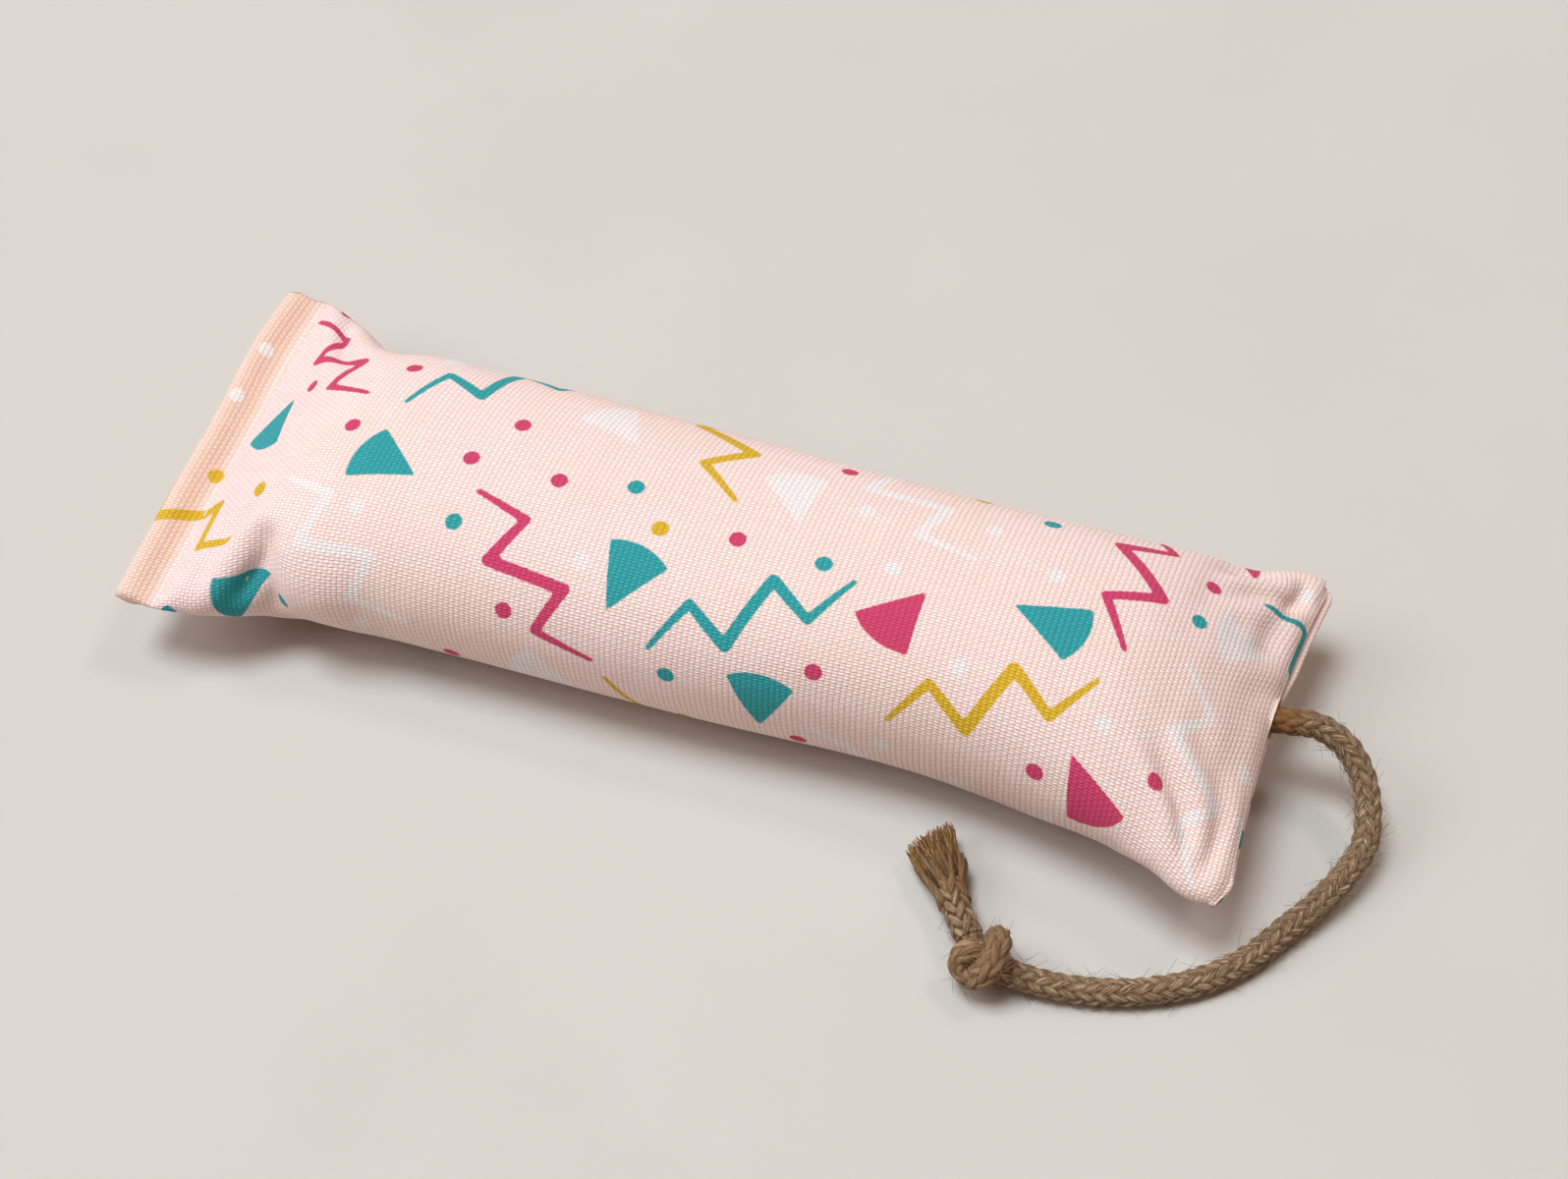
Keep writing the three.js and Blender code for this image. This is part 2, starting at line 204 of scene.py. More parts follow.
class Shader:
    """A material's nodes, written as expressions."""

    def __init__(self, name, roughness, **surface):
        self.material = bpy.data.materials.new(name)
        self.material.use_nodes = True
        self.nodes = self.material.node_tree.nodes
        self.surface = self.nodes["Principled BSDF"]
        self.set(self.surface.inputs["Roughness"], roughness)
        for socket, value in surface.items():
            self.set(self.surface.inputs[socket.replace("_", " ")], value)

    def set(self, socket, value):
        """Links a socket to another one, or gives it a value. A colour may be a code."""
        if isinstance(value, bpy.types.NodeSocket):
            self.material.node_tree.links.new(value, socket)
        else:
            socket.default_value = srgb(value) if isinstance(value, str) else value

    def node(self, kind, *values, **options):
        made = self.nodes.new("ShaderNode" + kind)
        for option, value in options.items():
            setattr(made, option, value)
        for socket, value in zip([s for s in made.inputs if s.enabled], values):
            self.set(socket, value)
        return made

    def math(self, operation, *values):
        return self.node("Math", *values, operation=operation).outputs[0]

    def times(self, a, b):
        return self.math("MULTIPLY", a, b)

    def plus(self, a, b):
        return self.math("ADD", a, b)

    def stretch(self, vector, *scales):
        return self.node("VectorMath", vector, scales, operation="MULTIPLY").outputs[0]

    def mix(self, share, a, b, blend="MIX"):
        made = self.node("Mix", share, a, b, data_type="RGBA", blend_type=blend)
        return next(s for s in made.outputs if s.enabled)

    def ramp(self, value, low, high, to_low=0.0, to_high=1.0):
        ends = (low, high, to_low, to_high)
        return self.node("MapRange", value, *ends, interpolation_type="SMOOTHSTEP").outputs[0]

    def named(self, kind, **values):
        """A node whose inputs are set by name."""
        made = self.nodes.new("ShaderNode" + kind)
        for socket, value in values.items():
            self.set(made.inputs[socket], value)
        return made.outputs[0]

    def noise(self, where, scale, detail, roughness=0.5):
        return self.named("TexNoise", Vector=where, Scale=scale, Detail=detail, Roughness=roughness)

    def wobble(self, where, scale, detail, size):
        """Noise about nought."""
        return self.times(self.math("SUBTRACT", self.noise(where, scale, detail), 0.5), size)

    def attribute(self, name, output="Fac"):
        return self.node("Attribute", attribute_name=name).outputs[output]

    def split(self, vector):
        return self.node("SeparateXYZ", vector).outputs

    def place(self):
        """The surface point in millimetres, on the object."""
        return self.stretch(self.node("TexCoord").outputs["Object"], 1000, 1000, 1000)

    def bump(self, height, depth, strength):
        bumped = self.named("Bump", Strength=strength, Distance=depth * MM, Height=height)
        self.set(self.surface.inputs["Normal"], bumped)

    def colour(self, value):
        self.set(self.surface.inputs["Base Color"], value)
        return self.material


HEM_DEPTH = 10.3  # hem edge to its stitch line
YARN_ALONG = 1.18  # spacing of the paired yarns that run round the sleeve
YARN_ROUND = 0.676  # spacing of the single yarns that run along it
INK_STRENGTH = 0.97
INKS = {"teal": "#12A3AC", "magenta": "#CF3A70", "yellow": "#DAB71C", "white": "#F3F3F7"}


def canvas_material():
    """Cream-pink cotton canvas in a paired weave, with four printed inks."""
    gloss = dict(Sheen_Weight=0.03, Sheen_Roughness=0.5, Specular_IOR_Level=0.2)
    s = Shader("printed_canvas", 0.9, **gloss)
    cloth = s.node("UVMap", uv_map="cloth").outputs[0]
    wander = s.wobble(cloth, 0.09, 3, 0.5)
    u, v, _ = s.split(cloth)
    across = s.math("SINE", s.times(s.plus(u, wander), pi / YARN_ALONG))
    around = s.math("SINE", s.times(s.plus(v, wander), pi / YARN_ROUND))
    both = s.times(across, around)
    crown = s.math("POWER", s.math("ABSOLUTE", both), 0.6)
    face_up = s.math("GREATER_THAN", both, 0.0)
    height = s.times(crown, s.math("MULTIPLY_ADD", face_up, 0.5, 0.5))
    hairs = s.noise(cloth, 4.0, 3, 0.7)
    # The ground colour drifts between pink and cream, and each yarn is a little its own.
    drift = s.ramp(s.noise(cloth, 0.02, 3, 0.55), 0.38, 0.64)
    ground = s.mix(drift, "#FAEAEA", "#F8E5DE")
    slub = s.noise(s.stretch(cloth, 0.06, 1.2, 1), 1.0, 2)
    ground = s.mix(s.ramp(slub, 0.3, 0.75), ground, "#F6E2DE")
    picks = s.noise(s.stretch(cloth, 0.9, 0.05, 1), 1.0, 2)
    ground = s.mix(s.times(s.ramp(picks, 0.45, 0.8), 0.5), ground, "#FBF0EC")
    # Painted shade: the hem band is tinted darker orange, most of all in its valley before the stitch
    # line.
    turned = s.times(s.ramp(u, HEM_DEPTH + 0.5, HEM_DEPTH - 2.5), s.ramp(u, -1, 4.5, 0.3, 1))
    ground = s.mix(s.times(turned, 0.5), ground, "#EFC3A2")
    # Painted light: the cone behind the stitch line is tinted pinker, the hue the cloth shows where it
    # is lit.
    cone_lit_tint = s.times(s.ramp(u, HEM_DEPTH, HEM_DEPTH + 2), s.ramp(u, 44, 18))
    ground = s.mix(s.times(cone_lit_tint, 0.5), ground, "#FBE4EA")
    inked = ground
    ragged = s.wobble(cloth, 1.5, 2, 0.35)
    stepped = s.times(s.math("SUBTRACT", 0.5, height), 0.22)
    for ink, code in INKS.items():
        edge = s.plus(s.attribute(ink), s.plus(ragged, stepped))
        cover = s.ramp(edge, 0.16, -0.16)
        inked = s.mix(s.times(cover, INK_STRENGTH), inked, code)
    # Painted shade: the hollows between the yarns are darkened, the more the lower they lie.
    shade = s.ramp(height, 0.0, 0.75)
    shaded_hollow = s.mix(1.0, inked, "#DEBDB5", "MULTIPLY")
    body = s.mix(s.math("MULTIPLY_ADD", shade, 0.72, 0.28), shaded_hollow, inked)
    relief = s.plus(height, s.times(hairs, 0.18))
    s.bump(relief, 0.26, 0.9)
    return s.colour(body)


def jute_material(name, pale, middle, dark):
    """Jute yarn: streaks of fibre run along each strand, with painted shade darkening the crevices."""
    s = Shader(name, 0.82, Sheen_Weight=0.1, Sheen_Roughness=0.4, Specular_IOR_Level=0.25)
    lay = s.attribute("lay", "Vector")  # mm along the strand, mm across it, strand number
    streaks = s.noise(s.stretch(lay, 0.35, 5.0, 3.7), 1.0, 4, 0.65)
    patches = s.noise(s.stretch(lay, 0.12, 0.15, 1.3), 1.0, 2)
    fleck = s.noise(s.place(), 2.2, 3, 0.6)
    tone = s.mix(s.ramp(streaks, 0.32, 0.66), dark, middle)
    tone = s.mix(s.ramp(streaks, 0.5, 0.75), tone, pale)
    tone = s.mix(s.times(s.ramp(patches, 0.45, 0.7), 0.5), tone, middle)
    tone = s.mix(s.times(s.ramp(fleck, 0.52, 0.75), 0.35), tone, pale)
    # Painted shade: where the crest is low, in the crevices between strands, the yarn is darkened.
    deep = s.mix(1.0, tone, "#5E4229", "MULTIPLY")
    tone = s.mix(s.ramp(s.attribute("crest"), 0.15, 0.9), deep, tone)
    # Stain and painted shade together: a stain at the tail's end and on the unlaid yarns, and painted
    # shade over the whole knot and where the cord leaves the seam.
    tone = s.mix(s.times(s.attribute("stain_and_shade"), 0.75), tone, "#7B4E1E")
    s.bump(s.math("MULTIPLY_ADD", streaks, 1.0, s.times(fleck, 0.3)), 0.28, 0.8)
    return s.colour(tone)


def thread_material():
    """Spun polyester sewing thread: a twist of fine ply lines."""
    s = Shader("sewing_thread", 0.6, Sheen_Weight=0.2)
    x, y, z = s.split(s.place())
    ply = s.math("SINE", s.times(s.plus(s.plus(x, y), z), 13.0))
    wear = s.noise(s.place(), 0.8, 3)
    tone = s.mix(s.ramp(ply, -1, 1), "#E3C3B8", "#F7E6DE")
    tone = s.mix(s.times(s.ramp(wear, 0.4, 0.7), 0.4), tone, "#FBF3EE")
    s.bump(ply, 0.06, 0.7)
    return s.colour(tone)


def fibre_material():
    """Polyester stuffing: matted white fibres."""
    s = Shader("stuffing", 0.95, Sheen_Weight=0.3)
    point = s.place()
    mat = s.noise(s.stretch(point, 0.25, 1.1, 1.1), 1.2, 5, 0.7)
    curl = s.noise(s.stretch(point, 1.3, 0.3, 0.9), 1.1, 5, 0.7)
    both = s.times(mat, curl)
    tone = s.mix(s.ramp(both, 0.12, 0.4), "#CFCDC6", "#F7F6F1")
    s.bump(both, 1.2, 0.9)
    return s.colour(tone)


def floor_material():
    s = Shader("floor", 0.75)
    tone = s.mix(s.noise(s.place(), 0.012, 3), "#BDB8B3", "#C5C0BC")
    return s.colour(tone)


canvas = canvas_material()
jute = jute_material("jute", "#E2CDAC", "#96785B", "#513A26")
brush_jute = jute_material("jute_fray", "#D6AE74", "#8F6738", "#4A3019")
thread = thread_material()

# ---- The sleeve's outline ----

HEM_X, SEAM_X = -120.0, 121.6
SEAM_HEIGHT = 19.0
EAR = 39.0  # about half the end seam's width
HEM_SKEW, SEAM_SKEW = 0.065, 0.04  # how far each sewn end leans, for each mm across
SEAM_DIP = 2.8  # the end seam is drawn in at the cord
BODY_DRIFT = 1.7  # the filled body lies this far to the near side of the hem's middle
SPACING = 1.5  # of the simulated cloth's grid
GIRTH = 180.0  # of the flat sleeve
COLUMNS = 2 * round(GIRTH / SPACING / 2)
REFINE = 2

# The filled part, from behind the hem's stitching: place along X, half-width, top, bottom and
# squareness.
BODY = [
    (-109.0, 44.6, 20.5, 17.4, 6.5),
    (-107.5, 44.1, 21.3, 16.5, 5.0),
    (-102.0, 42.0, 25.8, 11.0, 2.6),
    (-94.0, 38.0, 32.0, 4.0, 2.2),
    (-84.0, 34.6, 37.5, 0.5, 2.2),
    (-70.0, 33.0, 40.8, -1.6, 2.3),
    (-52.0, 32.4, 41.6, -1.6, 2.35),
    (10.0, 31.6, 42.0, -1.6, 2.35),
    (55.6, 32.4, 42.0, -1.6, 2.35),
    (77.6, 34.0, 41.0, -1.6, 2.3),
    (93.6, 36.0, 38.4, 1.2, 2.1),
    (105.6, 37.6, 33.5, 5.5, 1.9),
    (114.6, 38.6, 28.0, 11.0, 1.8),
    (119.6, 38.7, 23.0, 15.5, 1.9),
    (121.2, 38.1, 21.2, 17.0, 2.2),
]
# The hem, from inside its slit round the folded lips to the stitch line: how far from the hem
# edge, half-width, half-thickness and squareness. LIP_ROW is the row at its very edge.
HEM = [
    (8.5, 43.6, 0.14, 3), (5.5, 43.8, 0.15, 3), (3.0, 44.0, 0.16, 4), (1.4, 44.2, 0.22, 4),
    (0.5, 44.5, 0.42, 5), (0.06, 44.8, 0.85, 6), (0.05, 45.0, 1.25, 6), (0.5, 45.0, 1.8, 6),
    (1.4, 45.0, 2.35, 6), (2.8, 45.0, 2.65, 6), (4.3, 45.0, 2.35, 6), (5.8, 45.0, 1.55, 6),
    (7.2, 45.0, 0.95, 6), (8.5, 45.0, 0.75, 6), (9.5, 44.9, 0.8, 6), (10.2, 44.8, 1.05, 6),
]
LIP_ROW = 6
# The end seam, from its rolled edge back into the groove: how far inside the edge, half-width,
# half-thickness.
SEAM = [
    (0.0, 37.7, 1.35), (0.0, 37.5, 0.9), (0.35, 37.3, 0.5), (1.0, 37.1, 0.25), (2.2, 36.9, 0.14),
    (4.0, 36.7, 0.12),
]


def body_at(x):
    """Half-width, top, bottom and squareness of the filled part, at places along X."""
    knots = np.array(BODY)
    return spline(knots[:, 0], knots[:, 1:], x)


def ring(half, top, bottom, square, columns):
    """A superellipse from the near edge over the top to the far edge and back, evenly spaced."""
    angle = np.linspace(pi, 0, 721)
    c, d = np.cos(angle), np.sin(angle)
    y = half * np.sign(c) * np.abs(c) ** (2 / square)
    out = []
    for side in (1, -1):
        reach = (top - bottom) / 2
        z = (top + bottom) / 2 + side * reach * np.abs(d) ** (2 / square)
        z = np.maximum(z, 0)
        half_ring = np.stack([y, z], 1)
        run = along(half_ring)
        out.append(resample(np.linspace(0, run[-1], columns // 2 + 1), run, half_ring))
    girth = run[-1] * 2
    return np.concatenate([out[0][:-1], out[1][:0:-1]]), girth


def outline_rows():
    """The sleeve as rings of points, each ring's distance along the cloth and its girth."""
    x = np.linspace(BODY[0][0], BODY[-1][0], 600)
    run = along(np.stack([x, body_at(x)[:, 1]], 1))
    count = round(run[-1] / SPACING)
    body_x = np.interp(np.linspace(0, run[-1], count + 1), run, x)
    rows = []
    for back, half, thick, square in HEM:
        rows.append((HEM_X + back, half, SEAM_HEIGHT + thick, SEAM_HEIGHT - thick, square))
    first_free = len(rows)
    for bx, values in zip(body_x, body_at(body_x)):
        rows.append((bx, *values))
    last_free = len(rows)
    for back, half, thick in SEAM:
        rows.append((SEAM_X - back, half, SEAM_HEIGHT + thick, SEAM_HEIGHT - thick, 3))
    rings, girths = zip(*[ring(*row[1:], COLUMNS) for row in rows])
    rings = np.array(rings)
    xs = np.array([row[0] for row in rows])
    points = np.concatenate([np.broadcast_to(xs[:, None, None], (*rings.shape[:2], 1)), rings], 2)
    place = along(points[:, COLUMNS // 4])  # along the top
    return points, place - place[LIP_ROW], np.array(girths), first_free, last_free


# Where the stuffing has packed unevenly, each side is drawn in or swells: the place along X, how
# far it spreads, and how deep it is drawn in.
NEAR_DENTS = [(60, 60, 4.0), (-90, 34, -1.3), (122, 20, -4.2)]
FAR_DENTS = [(76, 80, 3.2), (106, 10, 0.8), (119, 9, -1.6)]


def drawn_in(x, dents):
    return sum(depth * hill(x, centre, spread) for centre, spread, depth in dents)


def settled(p):
    """The straight sleeve as it lies: the ends lean with its skewed cut, the near corners droop,
    and the stuffing has packed unevenly along the sides."""
    x, y, z = p[..., 0], p[..., 1], p[..., 2]
    hem = 1 - smoothstep(HEM_X + 10, HEM_X + 55, x)
    drift = smoothstep(HEM_X + 6, HEM_X + 34, x)
    end = smoothstep(SEAM_X - 30, SEAM_X, x)
    dip = SEAM_DIP * (1 - np.minimum(1, (y / EAR) ** 2))
    lean = end * (SEAM_SKEW * y - dip) - hem * HEM_SKEW * y
    # The hem's far half swells out, and the end seam's two corners are rounded off.
    lean -= 1.5 * hill(y, 27, 24) * (1 - smoothstep(HEM_X + 4, HEM_X + 16, x))
    corner = 3.4 * smoothstep(-33, -40, y) + 2.6 * smoothstep(34, 40, y)
    lean -= corner * smoothstep(SEAM_X - 34, SEAM_X - 1, x)
    reach = np.abs(p[..., 1]).max(1, keepdims=True)
    near, far = (np.clip(side * y / reach, 0, 1) ** 1.5 for side in (-1, 1))
    shift = near * drawn_in(x, NEAR_DENTS) - far * drawn_in(x, FAR_DENTS)
    droop = -1.4 * smoothstep(-12, -45, y) * (1 - smoothstep(HEM_X + 4, HEM_X + 30, x))
    droop -= 1.2 * smoothstep(-20, -38, y) * smoothstep(SEAM_X - 22, SEAM_X, x)
    return np.stack([x + lean, y - BODY_DRIFT * drift + shift, np.maximum(z + droop, 0)], -1)


CREASE_PLACE, SHOULDER_PLACE = 38, 50  # along the cloth, on the near side
CREASE_DEPTH, SHOULDER_SWELL = 7.0, 2.2
CREASE_HEIGHT, CREASE_REACH = 25, 13  # above the ground, where the crease is deepest
CREASE_SLOPE = 0.3  # it runs down and away from the hem
FAR_CREASE_OFFSET, FAR_CREASE_SHARE = 5, 0.55  # further from the hem on the far side, and shallower


def creased(p, place):
    """A deep crease each side, where the flat hem's cloth meets the filled body's shoulder."""
    across = p[..., 1] / np.abs(p[..., 1]).max(1, keepdims=True)
    deep = np.where(across < 0, 1.0, FAR_CREASE_SHARE) * smoothstep(0.55, 0.97, np.abs(across))
    low = hill(p[..., 2], CREASE_HEIGHT, CREASE_REACH)
    at = place[:, None] - np.where(across < 0, 0, FAR_CREASE_OFFSET)
    at = at - CREASE_SLOPE * (CREASE_HEIGHT - p[..., 2])
    fold = hill(at, CREASE_PLACE, 7.5) * CREASE_DEPTH - hill(at, SHOULDER_PLACE, 10) * SHOULDER_SWELL
    depth = fold * deep * low
    return p - np.stack([0 * depth, np.sign(p[..., 1]) * depth, 0 * depth], -1)


CORD_EXIT_Y = 0.5
MOUTH_ROOM = 3.1  # half the height of the opening round the cord


def opened(p, last_free):
    """The end seam's edges stand round the cord, and the under panel's edge shows past the upper
    one's towards the far side."""
    x, y, z = p[..., 0], p[..., 1], p[..., 2]
    rise = z - SEAM_HEIGHT
    room = MOUTH_ROOM * (1 - smoothstep(1.3, 6.5, np.abs(y - CORD_EXIT_Y)))
    near_edge = smoothstep(last_free - 6, last_free, np.arange(len(p)))[:, None]
    rise = np.sign(rise) * np.maximum(np.abs(rise), room * near_edge)
    under = near_edge * (rise < 0) * (0.4 + 0.9 * smoothstep(2, 14, y))
    return np.stack([x + under, y, SEAM_HEIGHT + rise], -1)


points, place, girths, first_free, last_free = outline_rows()
target = opened(creased(settled(points), place), last_free)

# ---- The print ----

# A plain confetti print, laid out by rule on the cut cloth in millimetres: along from the hem edge,
# and round from the near fold, negative on the underside.
PRINT_FROM, PRINT_TO = -14.0, 266.0
ZIGZAG_PITCH = (47.0, 44.0)  # along and round, every other row staggered by half
ZIGZAG_SPAN, ZIGZAG_TEETH, ZIGZAG_DEPTH = 42.0, 5, 6.0
ZIGZAG_STROKE = 1.35  # half its width, at the middle
ZIGZAG_STRAY = 5  # how far its middle may be from the lattice
ZIGZAG_TURNS, TURN_STRAY = [35, -55, 100, 150], 15  # in degrees
TRIANGLE_REACH, TRIANGLES, TRIANGLE_BOW = 8.6, 60, 0.14
DOT_RADIUS, PRINT_DOTS = 1.85, 110
CORD_MOUTH, MOUTH_REACH = (257.0, 44.0), 9.0  # kept plain, where the cord comes out
PRINT_GAP = 3.5  # between one motif and the next
SPREAD = {"triangle": 30, "dot": 12}  # between the middles of two motifs of a kind
TRIES = 4000
FAR = 99.0  # further than any distance measured
ZIGZAG_INKS = ["yellow", "white", "magenta", "teal"]
TRIANGLE_INKS = ["teal", "magenta", "white"]
DOT_INKS = ["magenta", "white", "yellow", "magenta", "white", "teal"]


def zigzag(centre, turn):
    """The corners of an even zigzag that is deepest in the middle."""
    steps = np.arange(ZIGZAG_TEETH + 1) / ZIGZAG_TEETH
    swing = np.where(np.arange(ZIGZAG_TEETH + 1) % 2, 1, -1) * np.sin(pi * (0.12 + 0.76 * steps))
    flat = np.stack([(steps - 0.5) * ZIGZAG_SPAN + swing * 2.2, swing * ZIGZAG_DEPTH], 1)
    spin = np.array([[cos(turn), sin(turn)], [-sin(turn), cos(turn)]])
    return centre + flat @ spin


def triangle(centre, turn):
    angles = turn + np.radians([0, 108, 236])
    return centre + TRIANGLE_REACH * np.stack([np.cos(angles), np.sin(angles)], 1)


def confetti():
    """Every motif, as its kind, its ink and its corners: the zigzags stand on a lattice, and the
    triangles and dots fall where there is room."""
    draw = np.random.default_rng(3)
    motifs, taken = [], [(np.array([CORD_MOUTH]), MOUTH_REACH)]

    def add(kind, ink, corners, reach):
        motifs.append((kind, ink, corners))
        steps = np.linspace(0, 1, 12)[:, None]
        edges = [p + (q - p) * steps for p, q in zip(corners, np.roll(corners, -1, 0))]
        edges = edges[:-1] if kind == "zigzag" else edges
        taken.append((np.concatenate(edges) if len(corners) > 1 else corners, reach))

    def free_place(reach, kind):
        for _ in range(TRIES):
            centre = draw.uniform([PRINT_FROM, -GIRTH / 2], [PRINT_TO, GIRTH / 2])
            gaps = [norm(other - centre, axis=1).min() - r for other, r in taken]
            same = [corners for other, _, corners in motifs if other == kind]
            like = [norm(corners.mean(0) - centre) for corners in same]
            if min(gaps) > reach + PRINT_GAP and min(like, default=FAR) > SPREAD[kind]:
                return centre
        return None

    rows = np.arange(-GIRTH / 2 + ZIGZAG_PITCH[1] / 2, GIRTH / 2, ZIGZAG_PITCH[1])
    for r, v in enumerate(rows):
        places = np.arange(PRINT_FROM + 20 + ZIGZAG_PITCH[0] / 2 * (r % 2), PRINT_TO, ZIGZAG_PITCH[0])
        for c, u in enumerate(places):
            centre = np.array([u, v]) + draw.uniform(-ZIGZAG_STRAY, ZIGZAG_STRAY, 2)
            turn = radians(draw.choice(ZIGZAG_TURNS) + draw.uniform(-TURN_STRAY, TURN_STRAY))
            add("zigzag", ZIGZAG_INKS[(c + 2 * r) % 4], zigzag(centre, turn), ZIGZAG_STROKE)
    for kind, count, inks, reach in (
        ("triangle", TRIANGLES, TRIANGLE_INKS, TRIANGLE_REACH * 0.8),
        ("dot", PRINT_DOTS, DOT_INKS, DOT_RADIUS),
    ):
        for number in range(count):
            centre = free_place(reach, kind)
            if centre is None:
                break
            turn = draw.uniform(0, tau)
            corners = triangle(centre, turn) if kind == "triangle" else centre[None]
            add(kind, inks[number % len(inks)], corners, DOT_RADIUS if kind == "dot" else 0)
    return motifs


def to_stroke(where, start, end, wide, narrow):
    """Distance outside a straight stroke that tapers from one half-width to another."""
    run = end - start
    t = np.clip(((where - start) @ run) / (run @ run), 0, 1)
    middle = start + t[..., None] * run
    return norm(where - middle, axis=-1) - (wide + (narrow - wide) * t)


def to_triangle(where, corners):
    """Distance outside a triangle whose first side is bowed outwards."""
    a, b, c = corners
    out = np.array([(b - a)[1], (a - b)[0]])
    out *= -np.sign(out @ (c - a)) * TRIANGLE_BOW
    t = np.linspace(0, 1, 9)[:, None]
    edge = np.concatenate([a + (b - a) * t + out * 4 * t * (1 - t), [c]])
    far = np.full(where.shape[:-1], FAR)
    inside = np.zeros(where.shape[:-1], bool)
    for p, q in zip(edge, np.roll(edge, -1, 0)):
        far = np.minimum(far, to_stroke(where, p, q, 0, 0))
        crosses = (p[1] > where[..., 1]) != (q[1] > where[..., 1])
        slope = (q[0] - p[0]) / (q[1] - p[1] or 1e-9)
        inside ^= crosses & (where[..., 0] < p[0] + (where[..., 1] - p[1]) * slope)
    return np.where(inside, -far, far)


def to_zigzag(where, corners):
    far = np.full(where.shape[:-1], FAR)
    widths = ZIGZAG_STROKE * (0.45 + 0.55 * np.sin(pi * np.arange(len(corners)) / ZIGZAG_TEETH))
    for p, q, wide, narrow in zip(corners, corners[1:], widths, widths[1:]):
        far = np.minimum(far, to_stroke(where, p, q, wide, narrow))
    return far


def to_dot(where, corners):
    return norm(where - corners[0], axis=-1) - DOT_RADIUS


def printed(where):
    """How far each point of the cloth is outside each ink's nearest motif."""
    measure = {"zigzag": to_zigzag, "triangle": to_triangle, "dot": to_dot}
    fields = {ink: np.full(where.shape[:-1], 5.0) for ink in INKS}
    for kind, ink, corners in confetti():
        # Only the cloth near the motif is measured.
        low, high = corners.min(0) - 7, corners.max(0) + 7
        us = slice(*np.searchsorted(where[:, 0, 0], [low[0], high[0]]))
        vs = slice(*np.searchsorted(where[0, :, 1], [low[1], high[1]]))
        part = fields[ink][us, vs]
        if part.size:
            np.minimum(part, measure[kind](where[us, vs], corners), out=part)
    return fields


# ---- The sleeve as cloth ----

STEPS = 420
STRETCH, SQUEEZE = 0.9, 0.04  # how firmly the cloth keeps its length, pulled and pushed together
SHEAR, BENDING = 0.15, 0.014  # how firmly it keeps its squares square, and its surface smooth
PRESSURE = 0.02  # of the stuffing, in mm a step
HOLD_WIDTH, HOLD = 5, 0.5  # how broad a shape the stuffing keeps, in grid cells, and how firmly
SLACK_GIRTH = 176.0  # a ring drawn shorter than this has cloth to spare
RUMPLE_WIDTH, RUMPLE = 5, 2.0  # the creases it starts with
SEAM_GROOVE, GROOVE_REACH = 0.8, 1.3  # depth in millimetres, and half its width in grid cells
STITCH_ROW = (len(HEM) - 1) * REFINE


def pairs(rows, odd):
    """Every second row, and the row after each of them."""
    return rows[odd:-1:2], rows[odd + 1 :: 2]


def pull(a, b, rest, wa, wb, stretch, squeeze):
    """Moves two sets of points towards their rest distance, in place."""
    step = b - a
    span = np.sqrt((step**2).sum(-1)) + 1e-9
    miss = (span - rest) / span
    share = np.where(miss > 0, stretch, squeeze) * miss / np.maximum(wa + wb, 1e-9)
    step *= share[..., None]
    a += step * wa[..., None]
    b -= step * wb[..., None]


def blur(field, wide):
    """A running mean over the grid, wrapping round the columns; the rows' ends repeat."""
    for _ in range(2):
        tall = np.pad(field, ((wide + 1, wide), (0, 0), (0, 0)), mode="edge").cumsum(0)
        field = (tall[2 * wide + 1 :] - tall[: -2 * wide - 1]) / (2 * wide + 1)
        around = np.concatenate([field[:, -wide - 1 :], field, field[:, :wide]], 1).cumsum(1)
        field = (around[:, 2 * wide + 1 :] - around[:, : -2 * wide - 1]) / (2 * wide + 1)
    return field


def normals(grid):
    down = np.gradient(grid, axis=0)
    around = np.roll(grid, -1, 1) - np.roll(grid, 1, 1)
    return unit(np.cross(down, around))


def bending(grid):
    """How far each inner point is from its four neighbours' middle, times four."""
    before, after = np.roll(grid, 1, 1)[1:-1], np.roll(grid, -1, 1)[1:-1]
    return grid[2:] + grid[:-2] + before + after - 4 * grid[1:-1]


def sewn_cloth(start, shape, free, rest_long, rest_round):
    """The cloth relaxed round its stuffing: canvas hardly stretches, buckles where it has length
    to spare, stays on the stuffing's broad shape, and rests on the ground."""
    cloth = start.copy()
    rows, columns = cloth.shape[:2]
    weight = np.broadcast_to(free[:, None], (rows, columns))
    lean = np.sqrt(rest_long[:, None] ** 2 + ((rest_round[1:] + rest_round[:-1]) / 2)[:, None] ** 2)
    for step in range(STEPS):
        cloth += normals(cloth) * (PRESSURE * weight)[..., None]
        for odd in (0, 1):
            rest = rest_long[odd::2, None]
            pull(*pairs(cloth, odd), rest, *pairs(weight, odd), STRETCH, SQUEEZE)
        for odd in (0, 1):
            turned = np.roll(cloth, -odd, 1)
            w = weight[:, 0::2]
            pull(turned[:, 0::2], turned[:, 1::2], rest_round[:, None], w, w, STRETCH, SQUEEZE)
            cloth = np.roll(turned, odd, 1)
        for odd, side in ((0, 1), (0, -1), (1, 1), (1, -1)):
            a, b = pairs(cloth, odd)
            aslant = np.roll(b, side, 1)
            pull(a, aslant, lean[odd::2], *pairs(weight, odd), SHEAR, SHEAR)
            b[:] = np.roll(aslant, -side, 1)
        bend = np.zeros_like(cloth)
        bend[1:-1] = bending(cloth)
        bend *= weight[..., None]
        stiff = np.zeros_like(cloth)
        stiff[1:-1] = bending(bend)
        cloth -= stiff * (BENDING * weight)[..., None]
        if step % 3 == 0:
            cloth -= blur(cloth - shape, HOLD_WIDTH) * (HOLD * weight)[..., None]
        cloth[..., 2] = np.maximum(cloth[..., 2], 0.05)
    return cloth


